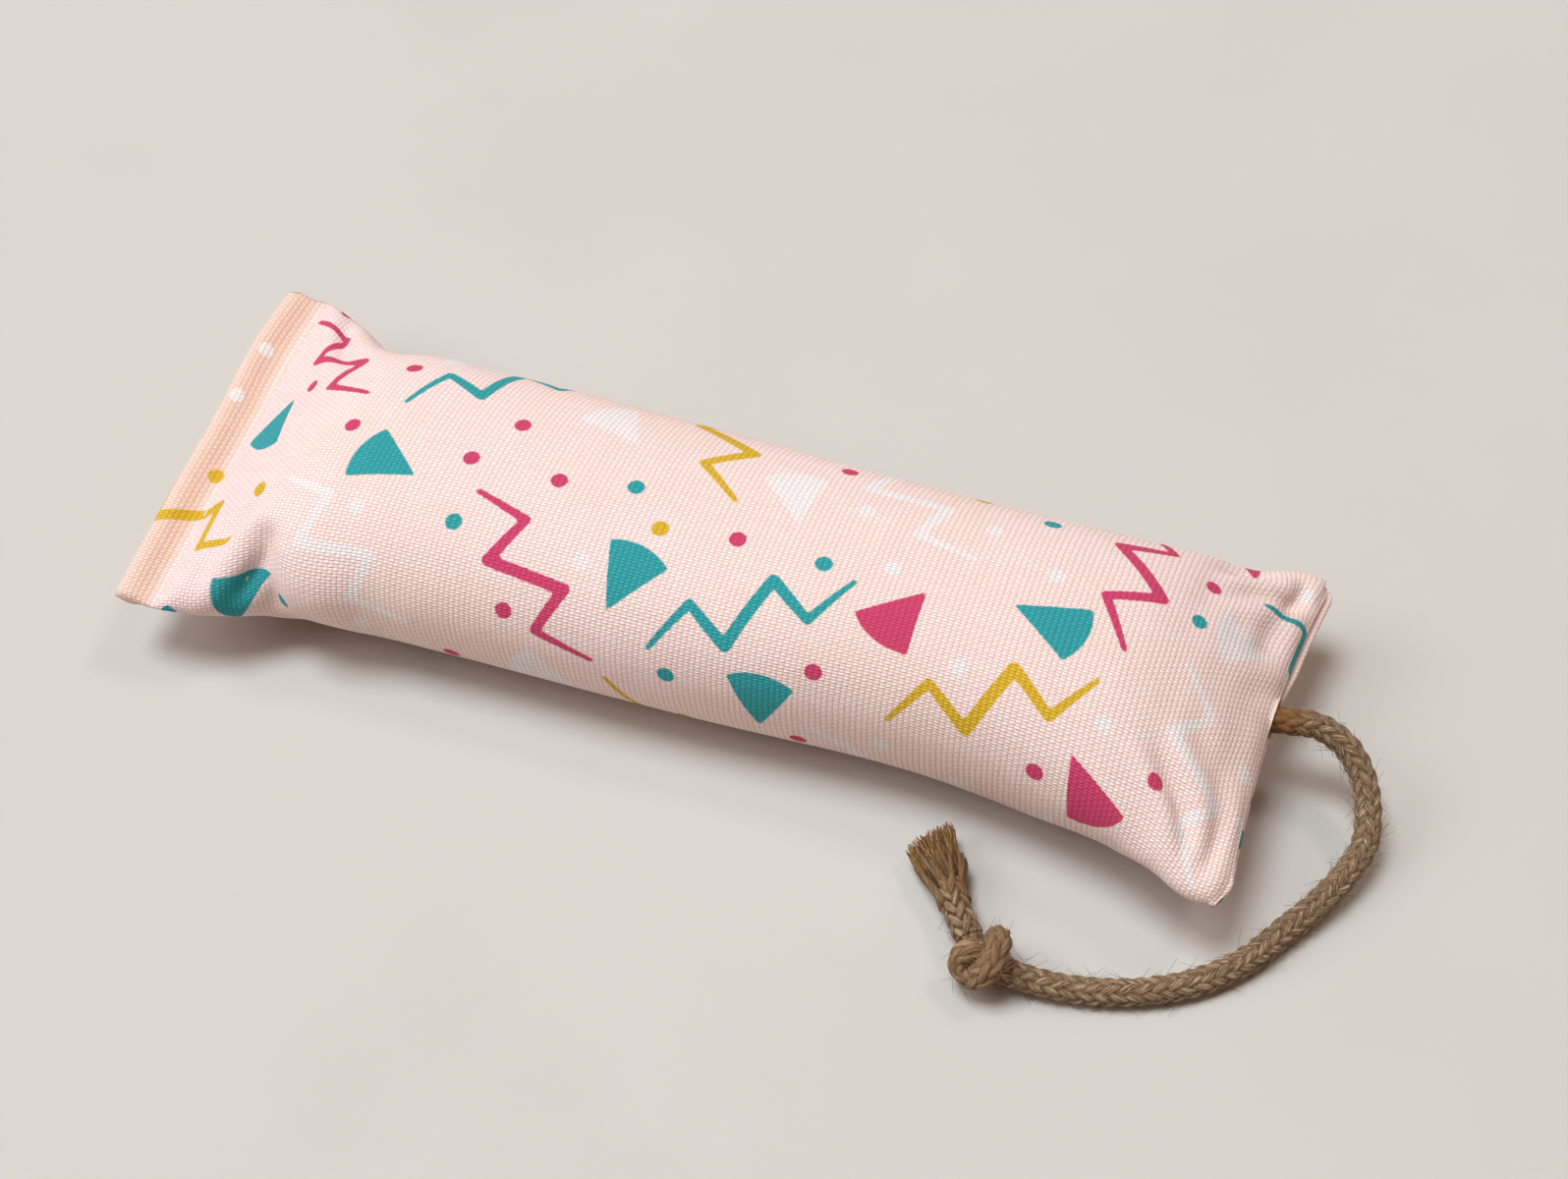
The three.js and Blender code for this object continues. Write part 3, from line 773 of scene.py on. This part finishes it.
def refine(grid, times):
    """The grid with times as many cells each way, on a smooth surface through its points."""
    rows, columns = grid.shape[:2]
    at = np.linspace(0, rows - 1, (rows - 1) * times + 1)
    grid = spline(np.arange(rows), grid, at)
    wide = np.concatenate([grid[:, -3:], grid, grid[:, :4]], 1).swapaxes(0, 1)
    at = np.arange(columns * times) / times + 3
    return spline(np.arange(len(wide)), wide, at).swapaxes(0, 1)


def seamed(grid):
    """The side seam draws the cloth in along a narrow groove on the far side."""
    columns = grid.shape[1]
    row, column = np.arange(len(grid))[:, None], np.arange(columns)[None]
    filled = smoothstep(STITCH_ROW, STITCH_ROW + 12, row)
    filled = filled * smoothstep(len(grid) - 14, len(grid) - 20, row)
    depth = SEAM_GROOVE * np.exp(-(((column - columns // 2) / GROOVE_REACH) ** 2)) * filled
    return grid - normals(grid) * depth[..., None]


def zip_faces(start, columns, flip):
    """Faces that close a flattened ring, from its upper half to its lower half."""
    faces = []
    for j in range(columns // 2):
        face = [j, j + 1, columns - j - 1, (columns - j) % columns]
        face = [start + f for f in dict.fromkeys(face)]
        faces.append(face[::-1] if flip else face)
    return faces


def closed_faces(rows, columns):
    """Faces of a sleeve of rings, flattened and closed at both ends."""
    sides = [list(f)[::-1] for f in grid_faces(rows, columns)]
    last = (rows - 1) * columns
    return sides + zip_faces(0, columns, False) + zip_faces(last, columns, True)


free = np.zeros(len(place))
free[first_free + 1 : last_free - 1] = 1
rest_long = np.diff(place)
rest_round = np.maximum(girths, SLACK_GIRTH) / COLUMNS
random = np.random.default_rng(7)
rumple = blur(random.normal(0, 1, target.shape), RUMPLE_WIDTH) * RUMPLE
start = target + rumple * free[:, None, None]
cloth = sewn_cloth(start, target, free, rest_long, rest_round)
cloth_grid = seamed(refine(cloth, REFINE))
rows, columns = cloth_grid.shape[:2]
faces = closed_faces(rows, columns)
cover = make_piece("canvas_sleeve", cloth_grid.reshape(-1, 3), faces, canvas)
fine_place = spline(np.arange(len(place)), place, np.linspace(0, len(place) - 1, rows))
# The cloth's own coordinates: along from the hem edge, and round from the near fold, positive over
# the top. The sewn edges meet on the far side, where the print and the weave are cut.
loops = np.zeros(len(cover.data.loops), int)
cover.data.loops.foreach_get("vertex_index", loops)
column = loops % columns
totals = np.zeros(len(cover.data.polygons), int)
cover.data.polygons.foreach_get("loop_total", totals)
owner = np.repeat(np.arange(len(totals)), totals)
widest = np.zeros(len(totals), int)
np.maximum.at(widest, owner, column)
half_round = columns // 2
round_index = np.where(column <= half_round, column + half_round, column - half_round)
round_index[(column == half_round) & (widest[owner] > half_round)] = 0
round_at = np.linspace(-GIRTH / 2, GIRTH / 2, columns + 1)
uv = cover.data.uv_layers.new(name="cloth")
row_of = loops // columns
uv.data.foreach_set("uv", np.stack([fine_place[row_of], round_at[round_index]], 1).ravel())
where = np.stack(np.meshgrid(fine_place, round_at, indexing="ij"), -1)
for ink, field in printed(where).items():
    layer = cover.data.attributes.new(ink, "FLOAT", "CORNER")
    layer.data.foreach_set("value", field[row_of, round_index].astype(np.float32))
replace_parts(cover, "canvas_cover")

# ---- Sewing ----

STITCH, STITCH_SINK = 3.0, 0.5
THREAD_RADIUS = 0.22


def hem_thread(name, columns_used, node):
    """A lockstitch thread: it lies on the cloth along each stitch and dips in at each hole."""
    row = cloth_grid[STITCH_ROW, columns_used]
    outward = normals(cloth_grid)[STITCH_ROW, columns_used]
    run = along(row)
    at = np.arange(2.0, run[-1] - 2.0, 0.25)
    up = unit(resample(at, run, outward))
    dip = np.abs(np.cos(pi * at / STITCH)) ** 12
    path = resample(at, run, row) + up * (0.02 - STITCH_SINK * dip)[:, None]
    points, faces = strand(path, THREAD_RADIUS, 8)
    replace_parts(make_piece(name, points, faces, thread), node)


hem_thread("hem_stitches_upper", np.arange(0, columns // 2 + 1), "hem_needle_thread")
hem_thread("hem_stitches_under", np.arange(columns // 2, columns), "hem_bobbin_thread")
for end in ("side", "end"):
    for kind in ("needle", "bobbin"):
        for material_slot in bpy.data.objects[f"{end}_seam_{kind}_thread"].material_slots:
            material_slot.material = thread

# ---- Stuffing ----

FILL_FROM, FILL_TO, FILL_INSET = -103.0, 106.0, 2.6
FILL_COLUMNS = 64
FILL_LUMPS = 0.8
stop_knot_low, stop_knot_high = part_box("cord_stop_knot")
POCKET_X = stop_knot_low.x / MM - 1.5  # the stuffing stands back from the knot inside it
# The pocket for that knot: places along X and radii, from the stuffing's end to the pocket's floor.
POCKET = [(FILL_TO + 1.2, 16), (FILL_TO + 1, 9), (FILL_TO - 2, 8.2), (POCKET_X, 8.2), (POCKET_X - 1, 4)]
POCKET_TALLEST = 8.6  # half the height of its widest rings


def stuffing():
    """The stuffing's own surface: the sleeve's outline drawn in, with a pocket for the knot."""
    xs = np.linspace(FILL_FROM, FILL_TO, 90)
    rings = []
    for x, (half, top, bottom, square) in zip(xs, body_at(xs)):
        top, bottom = top - FILL_INSET, max(bottom, 0) + FILL_INSET
        flat = ring(half - FILL_INSET, top, bottom, square, FILL_COLUMNS)[0]
        rings.append(np.column_stack([np.full(len(flat), x), flat]))
    body = creased(settled(np.array(rings)), xs - HEM_X + 4)
    middle = np.array([0, CORD_EXIT_Y, SEAM_HEIGHT])
    closing = []
    for x, share in ((FILL_FROM - 2.0, 0.05), (FILL_FROM - 1.5, 0.6)):
        closing.append(middle + (body[0] - middle) * [0, share, share] + [x, 0, 0])
    mouth = []
    angle = np.linspace(pi, -pi, FILL_COLUMNS, endpoint=False)
    for x, radius in POCKET:
        wide, tall = radius * np.cos(angle), min(radius, POCKET_TALLEST) * np.sin(angle)
        mouth.append(middle + np.stack([x + 0 * angle, wide, tall], 1))
    grid = np.array(closing + list(body) + mouth)
    lumps = blur(np.random.default_rng(11).normal(0, 1, grid.shape), 1)
    return grid + lumps * FILL_LUMPS


fill_grid = stuffing()
fill_faces = closed_faces(len(fill_grid), FILL_COLUMNS)
fill_points = fill_grid.reshape(-1, 3)
fill = make_piece("fibre_stuffing", fill_points, fill_faces, fibre_material())
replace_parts(fill, "fibre_fill")

# ---- The throwing cord ----

CORD_RADIUS = 2.75
CORD_ROUTE = [
    (105, 0.5, 19), (112, 0.5, 19), (120, 0.5, 19), (128, 2, 18), (134, 0.5, 15.5),
    (138, -3, 12.5), (140.5, -8, 9.5), (141.5, -14, 7), (139.5, -21, 5.5), (136, -28, 4),
    (131.5, -35, 3.2), (126, -43.5, 2.8), (119, -50.5, 2.8), (110, -56, 2.8), (100, -59.5, 2.8),
    (91, -61, 3), (84.5, -61.5, 4),
]
CORD_EXIT = CORD_ROUTE[2]
TAIL_ROUTE = [(75.5, -58, 6), (71.5, -53, 5.5), (68, -48, 5)]
FRAY_TIP = (61.5, -39, 4.5)
STRANDS = 8  # each way round
STRAND_STEP = 3.1  # along the cord from one strand to the next
STRAND_WIDTH = 1.7
STRAND_ROUND = 0.85  # from a strand's edge to its crest
STRAND_RISE = 0.42  # and its dip, where strands cross
RING_STEP = 0.26
RING_POINTS = 80
KNOT_ROLL, KNOT_TILT, KNOT_SIZE = 20, 130, 2.6  # how the loose knot is turned, in degrees, and scaled
KNOT_LENGTH, KNOT_THICK = 42.0, 4.1  # of the cord in the tight knot, where it can squash a little
KNOT_PULL = 0.0012  # towards the bottom of the photo
# Painted shade: the whole knot is darkened, through the jute's stain channel.
KNOT_SHADE = 0.42
KNOT_POINTS, KNOT_STEPS, TIGHTENING_STEPS = 96, 2600, 1400
KNOT_PUSH, KNOT_SMOOTHING = 0.22, 0.35  # how much of each fault is put right in a step


def frames(path):
    """Two directions across the path at each of its points, which don't twist about it."""
    ahead = unit(np.gradient(path, axis=0))
    side = unit(np.cross(ahead[0], [0, 0, 1.0]))
    sides = []
    for direction in ahead:
        side = unit(side - direction * (side @ direction))
        sides.append(side)
    sides = np.array(sides)
    return sides, np.cross(ahead, sides)


def braid(run, angle, loose):
    """Radius of a round braid, strands over two and under two, with what its material reads."""
    a = STRANDS * angle / tau + run / STRAND_STEP
    b = STRANDS * angle / tau - run / STRAND_STEP
    best = np.full(np.broadcast(run, angle).shape, -9.0)
    lay = np.zeros((*best.shape, 3))
    for mine, other, turn in ((a, b, 1), (b, a, -1)):
        for neighbour in (-1, 0, 1):
            number = np.floor(mine) + neighbour
            across = mine - number - 0.5
            rise = turn * np.cos(pi / 2 * (other + number - 1)) * STRAND_RISE
            flesh = 1 - np.minimum(1, (across / (0.62 - 0.12 * loose)) ** 2)
            height = rise + STRAND_ROUND * (np.sqrt(np.maximum(flesh, 0)) - 1)
            better = height > best
            best = np.where(better, height, best)
            mark = np.mod(number, STRANDS) * 1.7 + (turn > 0) * 20  # one for each strand
            here = np.stack([np.broadcast_to(run, best.shape), across * STRAND_WIDTH, mark], -1)
            lay = np.where(better[..., None], here, lay)
    crest = np.clip((best + 0.55) / STRAND_ROUND, 0, 1)
    return best - STRAND_RISE, lay, crest


def tube(path, run, radius, sides, ups, flat=1.0, loose=0.0):
    """The braid's closed surface along a path: points, faces, and what its material reads."""
    angle = np.arange(RING_POINTS) / RING_POINTS * tau
    relief, lay, crest = braid(run[:, None], angle[None], loose)
    reach = np.broadcast_to(radius, run.shape)[:, None] + relief
    across = sides[:, None] * np.cos(angle)[None, :, None]
    over = ups[:, None] * np.sin(angle)[None, :, None] * np.broadcast_to(flat, run.shape)[:, None, None]
    skin = path[:, None] + reach[..., None] * (across + over)
    points = skin.reshape(-1, 3)
    faces = grid_faces(len(path), RING_POINTS).tolist()
    for row, flip in ((0, True), (len(path) - 1, False)):
        points = np.concatenate([points, path[row][None]])
        rim = np.arange(RING_POINTS) + row * RING_POINTS
        fan = [[len(points) - 1, *pair] for pair in zip(rim, np.roll(rim, -1))]
        faces += [f[::-1] for f in fan] if flip else fan
        lay = np.concatenate([lay.reshape(-1, 3), [[run[row], 0, 0]]])
        crest = np.concatenate([crest.ravel(), [0]])
    return points, faces, lay, crest


def overhand(start, start_ahead, end, end_ahead, length, thick):
    """A tightened overhand knot between two points: a chain that keeps its length and thickness."""
    t = np.linspace(3 * pi - 0.5, pi + 0.5, 60)
    x = np.sin(t) + 2 * np.sin(2 * t)
    y = np.cos(t) - 2 * np.cos(2 * t)
    z = 1.1 * np.sin(3 * t)
    turn = radians(KNOT_ROLL)
    flat = [x * cos(turn) - y * sin(turn), x * sin(turn) + y * cos(turn), z]
    loop = KNOT_SIZE * np.stack(flat, 1) @ CAMERA_AXES
    hinge = unit(end - start)
    tilt = radians(KNOT_TILT)
    loop = (
        loop * cos(tilt)
        + np.cross(hinge, loop) * sin(tilt)
        + hinge * (loop @ hinge)[:, None] * (1 - cos(tilt))
    )
    loop += (start + end) / 2 + [0, 0, 2.0] - loop.mean(0)
    rough = np.concatenate([[start - start_ahead * 3, start], loop, [end, end + end_ahead * 3]])
    chain = route(rough, 1.0)
    count = KNOT_POINTS
    chain = resample(np.linspace(0, along(chain)[-1], count), along(chain), chain)
    long = along(chain)[-1]
    gap = np.abs(np.arange(count)[:, None] - np.arange(count)[None])
    free = np.ones(count)
    free[:4] = free[-4:] = 0
    for step in range(KNOT_STEPS):
        total = max(length, long * (1 - step / TIGHTENING_STEPS))
        rest = total / (count - 1)
        chain[:4] = start + start_ahead * (np.arange(4) - 3)[:, None] * rest
        chain[-4:] = end + end_ahead * np.arange(4)[:, None] * rest
        away = chain[:, None] - chain[None]
        far = np.sqrt((away**2).sum(-1)) + 1e-9
        near = (far < thick) & (gap * rest > thick * 1.25)
        push = np.where(near, (thick - far) / far * KNOT_PUSH, 0)
        chain += (away * push[..., None]).sum(1) * free[:, None]
        bend = np.zeros_like(chain)
        bend[1:-1] = (chain[2:] + chain[:-2]) / 2 - chain[1:-1]
        smooth_bend = bend.copy()
        smooth_bend[1:-1] -= (bend[2:] + bend[:-2]) / 2
        chain += smooth_bend * KNOT_SMOOTHING * free[:, None]
        chain -= CAMERA_AXES[1] * [1, 1, 0] * KNOT_PULL * free[:, None]
        for odd in (0, 1, 0, 1):
            a, b = pairs(chain, odd)
            gap_now = b - a
            span = norm(gap_now, axis=1, keepdims=True)
            fix = gap_now * (1 - rest / span) * 0.5
            wa, wb = pairs(free[:, None], odd)
            a += fix * wa * (2 - wb)
            b -= fix * wb * (2 - wa)
        chain[:, 2] = np.maximum(chain[:, 2], thick / 2)
    return chain


cord_path = route(CORD_ROUTE, RING_STEP)
tail_path = route(TAIL_ROUTE, RING_STEP)
in_ahead, out_ahead = (unit(p[1] - p[0]) for p in (cord_path[-2:], tail_path[:2]))
chain = overhand(cord_path[-1], in_ahead, tail_path[0], out_ahead, KNOT_LENGTH, KNOT_THICK)
knot_path = route(chain[3:-3], RING_STEP)
whole = np.concatenate([cord_path, knot_path[1:], tail_path[1:]])
whole_sides, whole_ups = frames(whole)
whole_run = along(whole)
cuts = [0, len(cord_path), len(cord_path) + len(knot_path) - 1, len(whole)]


def jute_piece(name, points, faces, lay, crest, stain_and_shade, material=jute):
    """A piece of jute. The material reads each point's lay, how far it stands out, which sets its
    painted crevice shade, and its stain and painted shade.
    """
    piece = make_piece(name, points, faces, material)
    store(piece, "lay", lay)
    store(piece, "crest", np.zeros(len(points)) + crest)
    store(piece, "stain_and_shade", np.zeros(len(points)) + stain_and_shade)
    return piece


def cord_piece(name, first, last, radius, stain_and_shade, flat=1.0, loose=0.0):
    part = slice(first, last)
    made = tube(whole[part], whole_run[part], radius, whole_sides[part], whole_ups[part], flat, loose)
    return jute_piece(name, *made, stain_and_shade(made[0]))


def stain_and_shade_near(spot, most, far, close):
    """A darkening that fades with the distance from a spot, in millimetres."""
    return lambda points: most * smoothstep(far, close, norm(points - spot, axis=1))


# Painted shade on the cord where it leaves the seam's mouth, and a stain at the tail's end.
exit_shade = stain_and_shade_near(np.array(CORD_EXIT), 1, 9, 2)
end_stain = stain_and_shade_near(tail_path[-1], 0.6, 9, 1)
cord = cord_piece("braided_cord", cuts[0], cuts[1], CORD_RADIUS, exit_shade)
knot = cord_piece("overhand_knot", cuts[1] - 1, cuts[2], CORD_RADIUS - 0.1, lambda _: KNOT_SHADE)
share = np.linspace(0, 1, cuts[3] - cuts[2] + 1)
swelling = CORD_RADIUS + 0.35 + 0.5 * share
tail = cord_piece("tail", cuts[2] - 1, cuts[3], swelling, end_stain, 1 - 0.25 * share, 1.0)
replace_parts(cord, "throw_cord")
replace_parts(knot, "cord_knot")
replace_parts(tail, "cord_tail")

# ---- The frayed end, the stray hairs and the knot inside ----

BRUSH_FIBRES, UNLAID_YARNS, STRAY_HAIRS = 460, 16, 650
BRUSH_HALF_WIDTH, BRUSH_HALF_HEIGHT = 5.6, 3.4
ROOT_HALF_WIDTH, ROOT_HALF_HEIGHT = 2.4, 1.9  # of the fibres' bundle, where they leave the tail
FIBRE_RADII, YARN_RADII, HAIR_RADII = (0.24, 0.12), (0.9, 0.3), (0.06, 0.03)  # root and tip
YARN_HALF_WIDTH, YARN_HALF_HEIGHT = 2.6, 1.9  # of the ring of yarns, where they come apart
YARNS_START = 4.5  # back from the tail's end
BARE_START, BARE_END = 64, 8  # rings of the cord inside the seam, and by the brush, with no hairs


def fibre(path, radii, sides, lowest):
    """A fibre that tapers along its path and stays above the ground."""
    path[:, 2] = np.maximum(path[:, 2], lowest)
    return strand(path, np.linspace(*radii, len(path)), sides)


def fray_axes():
    """The tail's end, the way on to the brush's tip and how far it is, and two ways across."""
    root, tip = tail_path[-1], np.array(FRAY_TIP)
    ahead = unit(tip - root)
    side = unit(np.cross(ahead, [0, 0, 1.0]))
    return root, ahead, norm(tip - root), side, np.cross(side, ahead)


def brush():
    """Fibres that leave the tail as a bundle and spread towards a slanted cut."""
    draw = np.random.default_rng(21)
    root, ahead, reach, side, up = fray_axes()
    strands, shares = [], []
    t = np.linspace(0, 1, 7)[:, None]
    for _ in range(BRUSH_FIBRES):
        turn, out = draw.uniform(0, tau), sqrt(draw.uniform(0, 1))
        a, b = out * cos(turn), out * sin(turn)
        long = reach * (1.0 + 0.12 * a) + draw.normal(0, 0.45)
        start = root - ahead * 1.2 + side * a * ROOT_HALF_WIDTH + up * b * ROOT_HALF_HEIGHT
        end = root + ahead * long + side * a * BRUSH_HALF_WIDTH + up * b * BRUSH_HALF_HEIGHT
        bow = side * draw.normal(0, 0.35) + up * draw.normal(0, 0.3)
        path = start + (end - start) * t**1.25 + bow * np.sin(pi * t)
        strands.append(fibre(path, FIBRE_RADII, 4, 0.25))
        # Painted shade: fibres near the root and deep in the bundle get a low crest, which the jute
        # material darkens.
        shares.append(np.repeat(np.clip(0.25 + 0.75 * t[:, 0] * (0.5 + 0.5 * out), 0, 1), 4))
    points, faces, numbers = bundle(strands)
    lay = np.stack([(points - root) @ ahead, (points - root) @ side * 0.2, numbers * 0.37], 1)
    return jute_piece("frayed_brush", points, faces, lay, np.concatenate(shares), 0, brush_jute)


def unlaid_yarns():
    """The braid's own yarns, where they come apart between the tail and the brush."""
    draw = np.random.default_rng(23)
    root, ahead, full, side, up = fray_axes()
    strands, shares = [], []
    t = np.linspace(0, 1, 9)[:, None]
    for number in range(UNLAID_YARNS):
        turn = (number + draw.uniform(-0.3, 0.3)) / UNLAID_YARNS * tau
        twist = draw.choice([-1, 1]) * draw.uniform(0.3, 0.7) * (1 - t) ** 1.5
        reach = full * draw.uniform(0.4, 0.85)
        angle = turn + twist
        out = 1 + 0.95 * smoothstep(0.15, 1, t)
        across = side * np.cos(angle) * YARN_HALF_WIDTH * out
        over = up * np.sin(angle) * YARN_HALF_HEIGHT * out
        path = root + ahead * (-YARNS_START + (YARNS_START + reach) * t) + (across + over)
        strands.append(fibre(path, YARN_RADII, 6, 0.5))
        shares.append(np.repeat(t[:, 0], 6))
    points, faces, numbers = bundle(strands)
    lay = np.stack([(points - root) @ ahead, (points - root) @ side, numbers * 0.37], 1)
    stain_and_shade = 0.15 + 0.55 * np.concatenate(shares)
    # Their crest is held at 0.6, so the jute material's painted crevice shade darkens them a little all
    # over; their stain grows towards the tips.
    return jute_piece("unlaid_yarns", points, faces, lay, 0.6, stain_and_shade)


def stray_hairs():
    """Fine fibres that stand off the cord."""
    draw = np.random.default_rng(22)
    outside = slice(cuts[0] + BARE_START, cuts[3] - BARE_END)
    centre, sides, ups = whole[outside], whole_sides[outside], whole_ups[outside]
    strands = []
    t = np.linspace(0, 1, 5)[:, None]
    for _ in range(STRAY_HAIRS):
        k = draw.integers(2, len(centre) - 2)
        turn = draw.uniform(0, tau)
        out = sides[k] * cos(turn) + ups[k] * sin(turn)
        ahead = unit(centre[k + 1] - centre[k - 1]) * draw.choice([-1, 1])
        long = draw.uniform(1.2, 5.0)
        aim = unit(ahead * draw.uniform(0.5, 1.2) + out * draw.uniform(0.25, 0.8))
        curl = np.cross(aim, out) * draw.normal(0, 0.35)
        path = centre[k] + out * (CORD_RADIUS - 0.7) + aim * long * t + curl * long * t**2
        strands.append(fibre(path, HAIR_RADII, 3, 0.1))
    points, faces, numbers = bundle(strands)
    lay = np.stack([points[:, 0], points[:, 1], numbers * 0.41], 1)
    return jute_piece("cord_stray_hairs", points, faces, lay, 1, 0)


def stop_knot():
    """The knot behind the end seam: a tight loop of cord that crosses itself three times."""
    middle = np.array([(low + high) / 2 for low, high in zip(stop_knot_low, stop_knot_high)]) / MM
    t = np.linspace(0, tau, 90)
    x, y = np.sin(t) + 2 * np.sin(2 * t), np.cos(t) - 2 * np.cos(2 * t)
    loop = np.stack([x, y, -1.3 * np.sin(3 * t)], 1)
    path = route(middle + loop * 1.3, RING_STEP * 1.5)
    return jute_piece("stop_knot", *tube(path, along(path), 2.4, *frames(path)), 0)


fray = brush()
yarns = unlaid_yarns()
hairs = stray_hairs()
inner_knot = stop_knot()
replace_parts(fray, "frayed_end")
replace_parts(inner_knot, "cord_stop_knot")

# ---- Stage and light ----

FLOOR_RADIUS, FLOOR_SIDES = 2.5, 96
floor = linked("floor", bpy.data.meshes.new("floor"))
turns = np.arange(FLOOR_SIDES) / FLOOR_SIDES * tau
rim = FLOOR_RADIUS * np.stack([np.cos(turns), np.sin(turns), 0 * turns], 1)
floor.data.from_pydata(rim.tolist(), [], [tuple(range(FLOOR_SIDES))])
floor.data.materials.append(floor_material())


def area_light(name, azimuth, elevation, distance, size, power, colour):
    light = bpy.data.lights.new(name, "AREA")
    light.shape, light.size, light.energy, light.color = "DISK", size, power, colour
    axes = facing(azimuth, elevation)
    aim(linked(name, light), axes[2] * distance, axes)


area_light("key", 50, 58, 4.4, 0.8, 28, (1.0, 0.92, 0.84))
area_light("sky", 180, 76, 4.4, 2.0, 164, (0.87, 0.97, 1.0))
area_light("window", 200, 42, 4.8, 2.8, 85, (0.95, 0.98, 1.0))
area_light("fill", 250, 50, 5.2, 4.8, 8, (1.0, 0.93, 0.88))


def studio():
    """A dim, warm room over a pale horizon that carries the floor on."""
    world = bpy.data.worlds.new("studio")
    world.use_nodes = True
    nodes, links = world.node_tree.nodes, world.node_tree.links
    split = nodes.new("ShaderNodeSeparateXYZ")
    links.new(nodes.new("ShaderNodeTexCoord").outputs["Generated"], split.inputs[0])
    rise = nodes.new("ShaderNodeMapRange")
    rise.inputs["From Min"].default_value, rise.inputs["From Max"].default_value = 0.01, 0.12
    links.new(split.outputs["Z"], rise.inputs["Value"])
    sky = nodes.new("ShaderNodeMix")
    sky.data_type = "RGBA"
    links.new(rise.outputs[0], sky.inputs[0])
    sky.inputs[6].default_value, sky.inputs[7].default_value = HORIZON, ROOM
    links.new(sky.outputs[2], nodes["Background"].inputs["Color"])
    return world


HORIZON, ROOM = (0.51, 0.49, 0.475, 1), (0.25, 0.165, 0.12, 1)
bpy.context.scene.world = studio()
bpy.context.scene.view_settings.view_transform = "Standard"
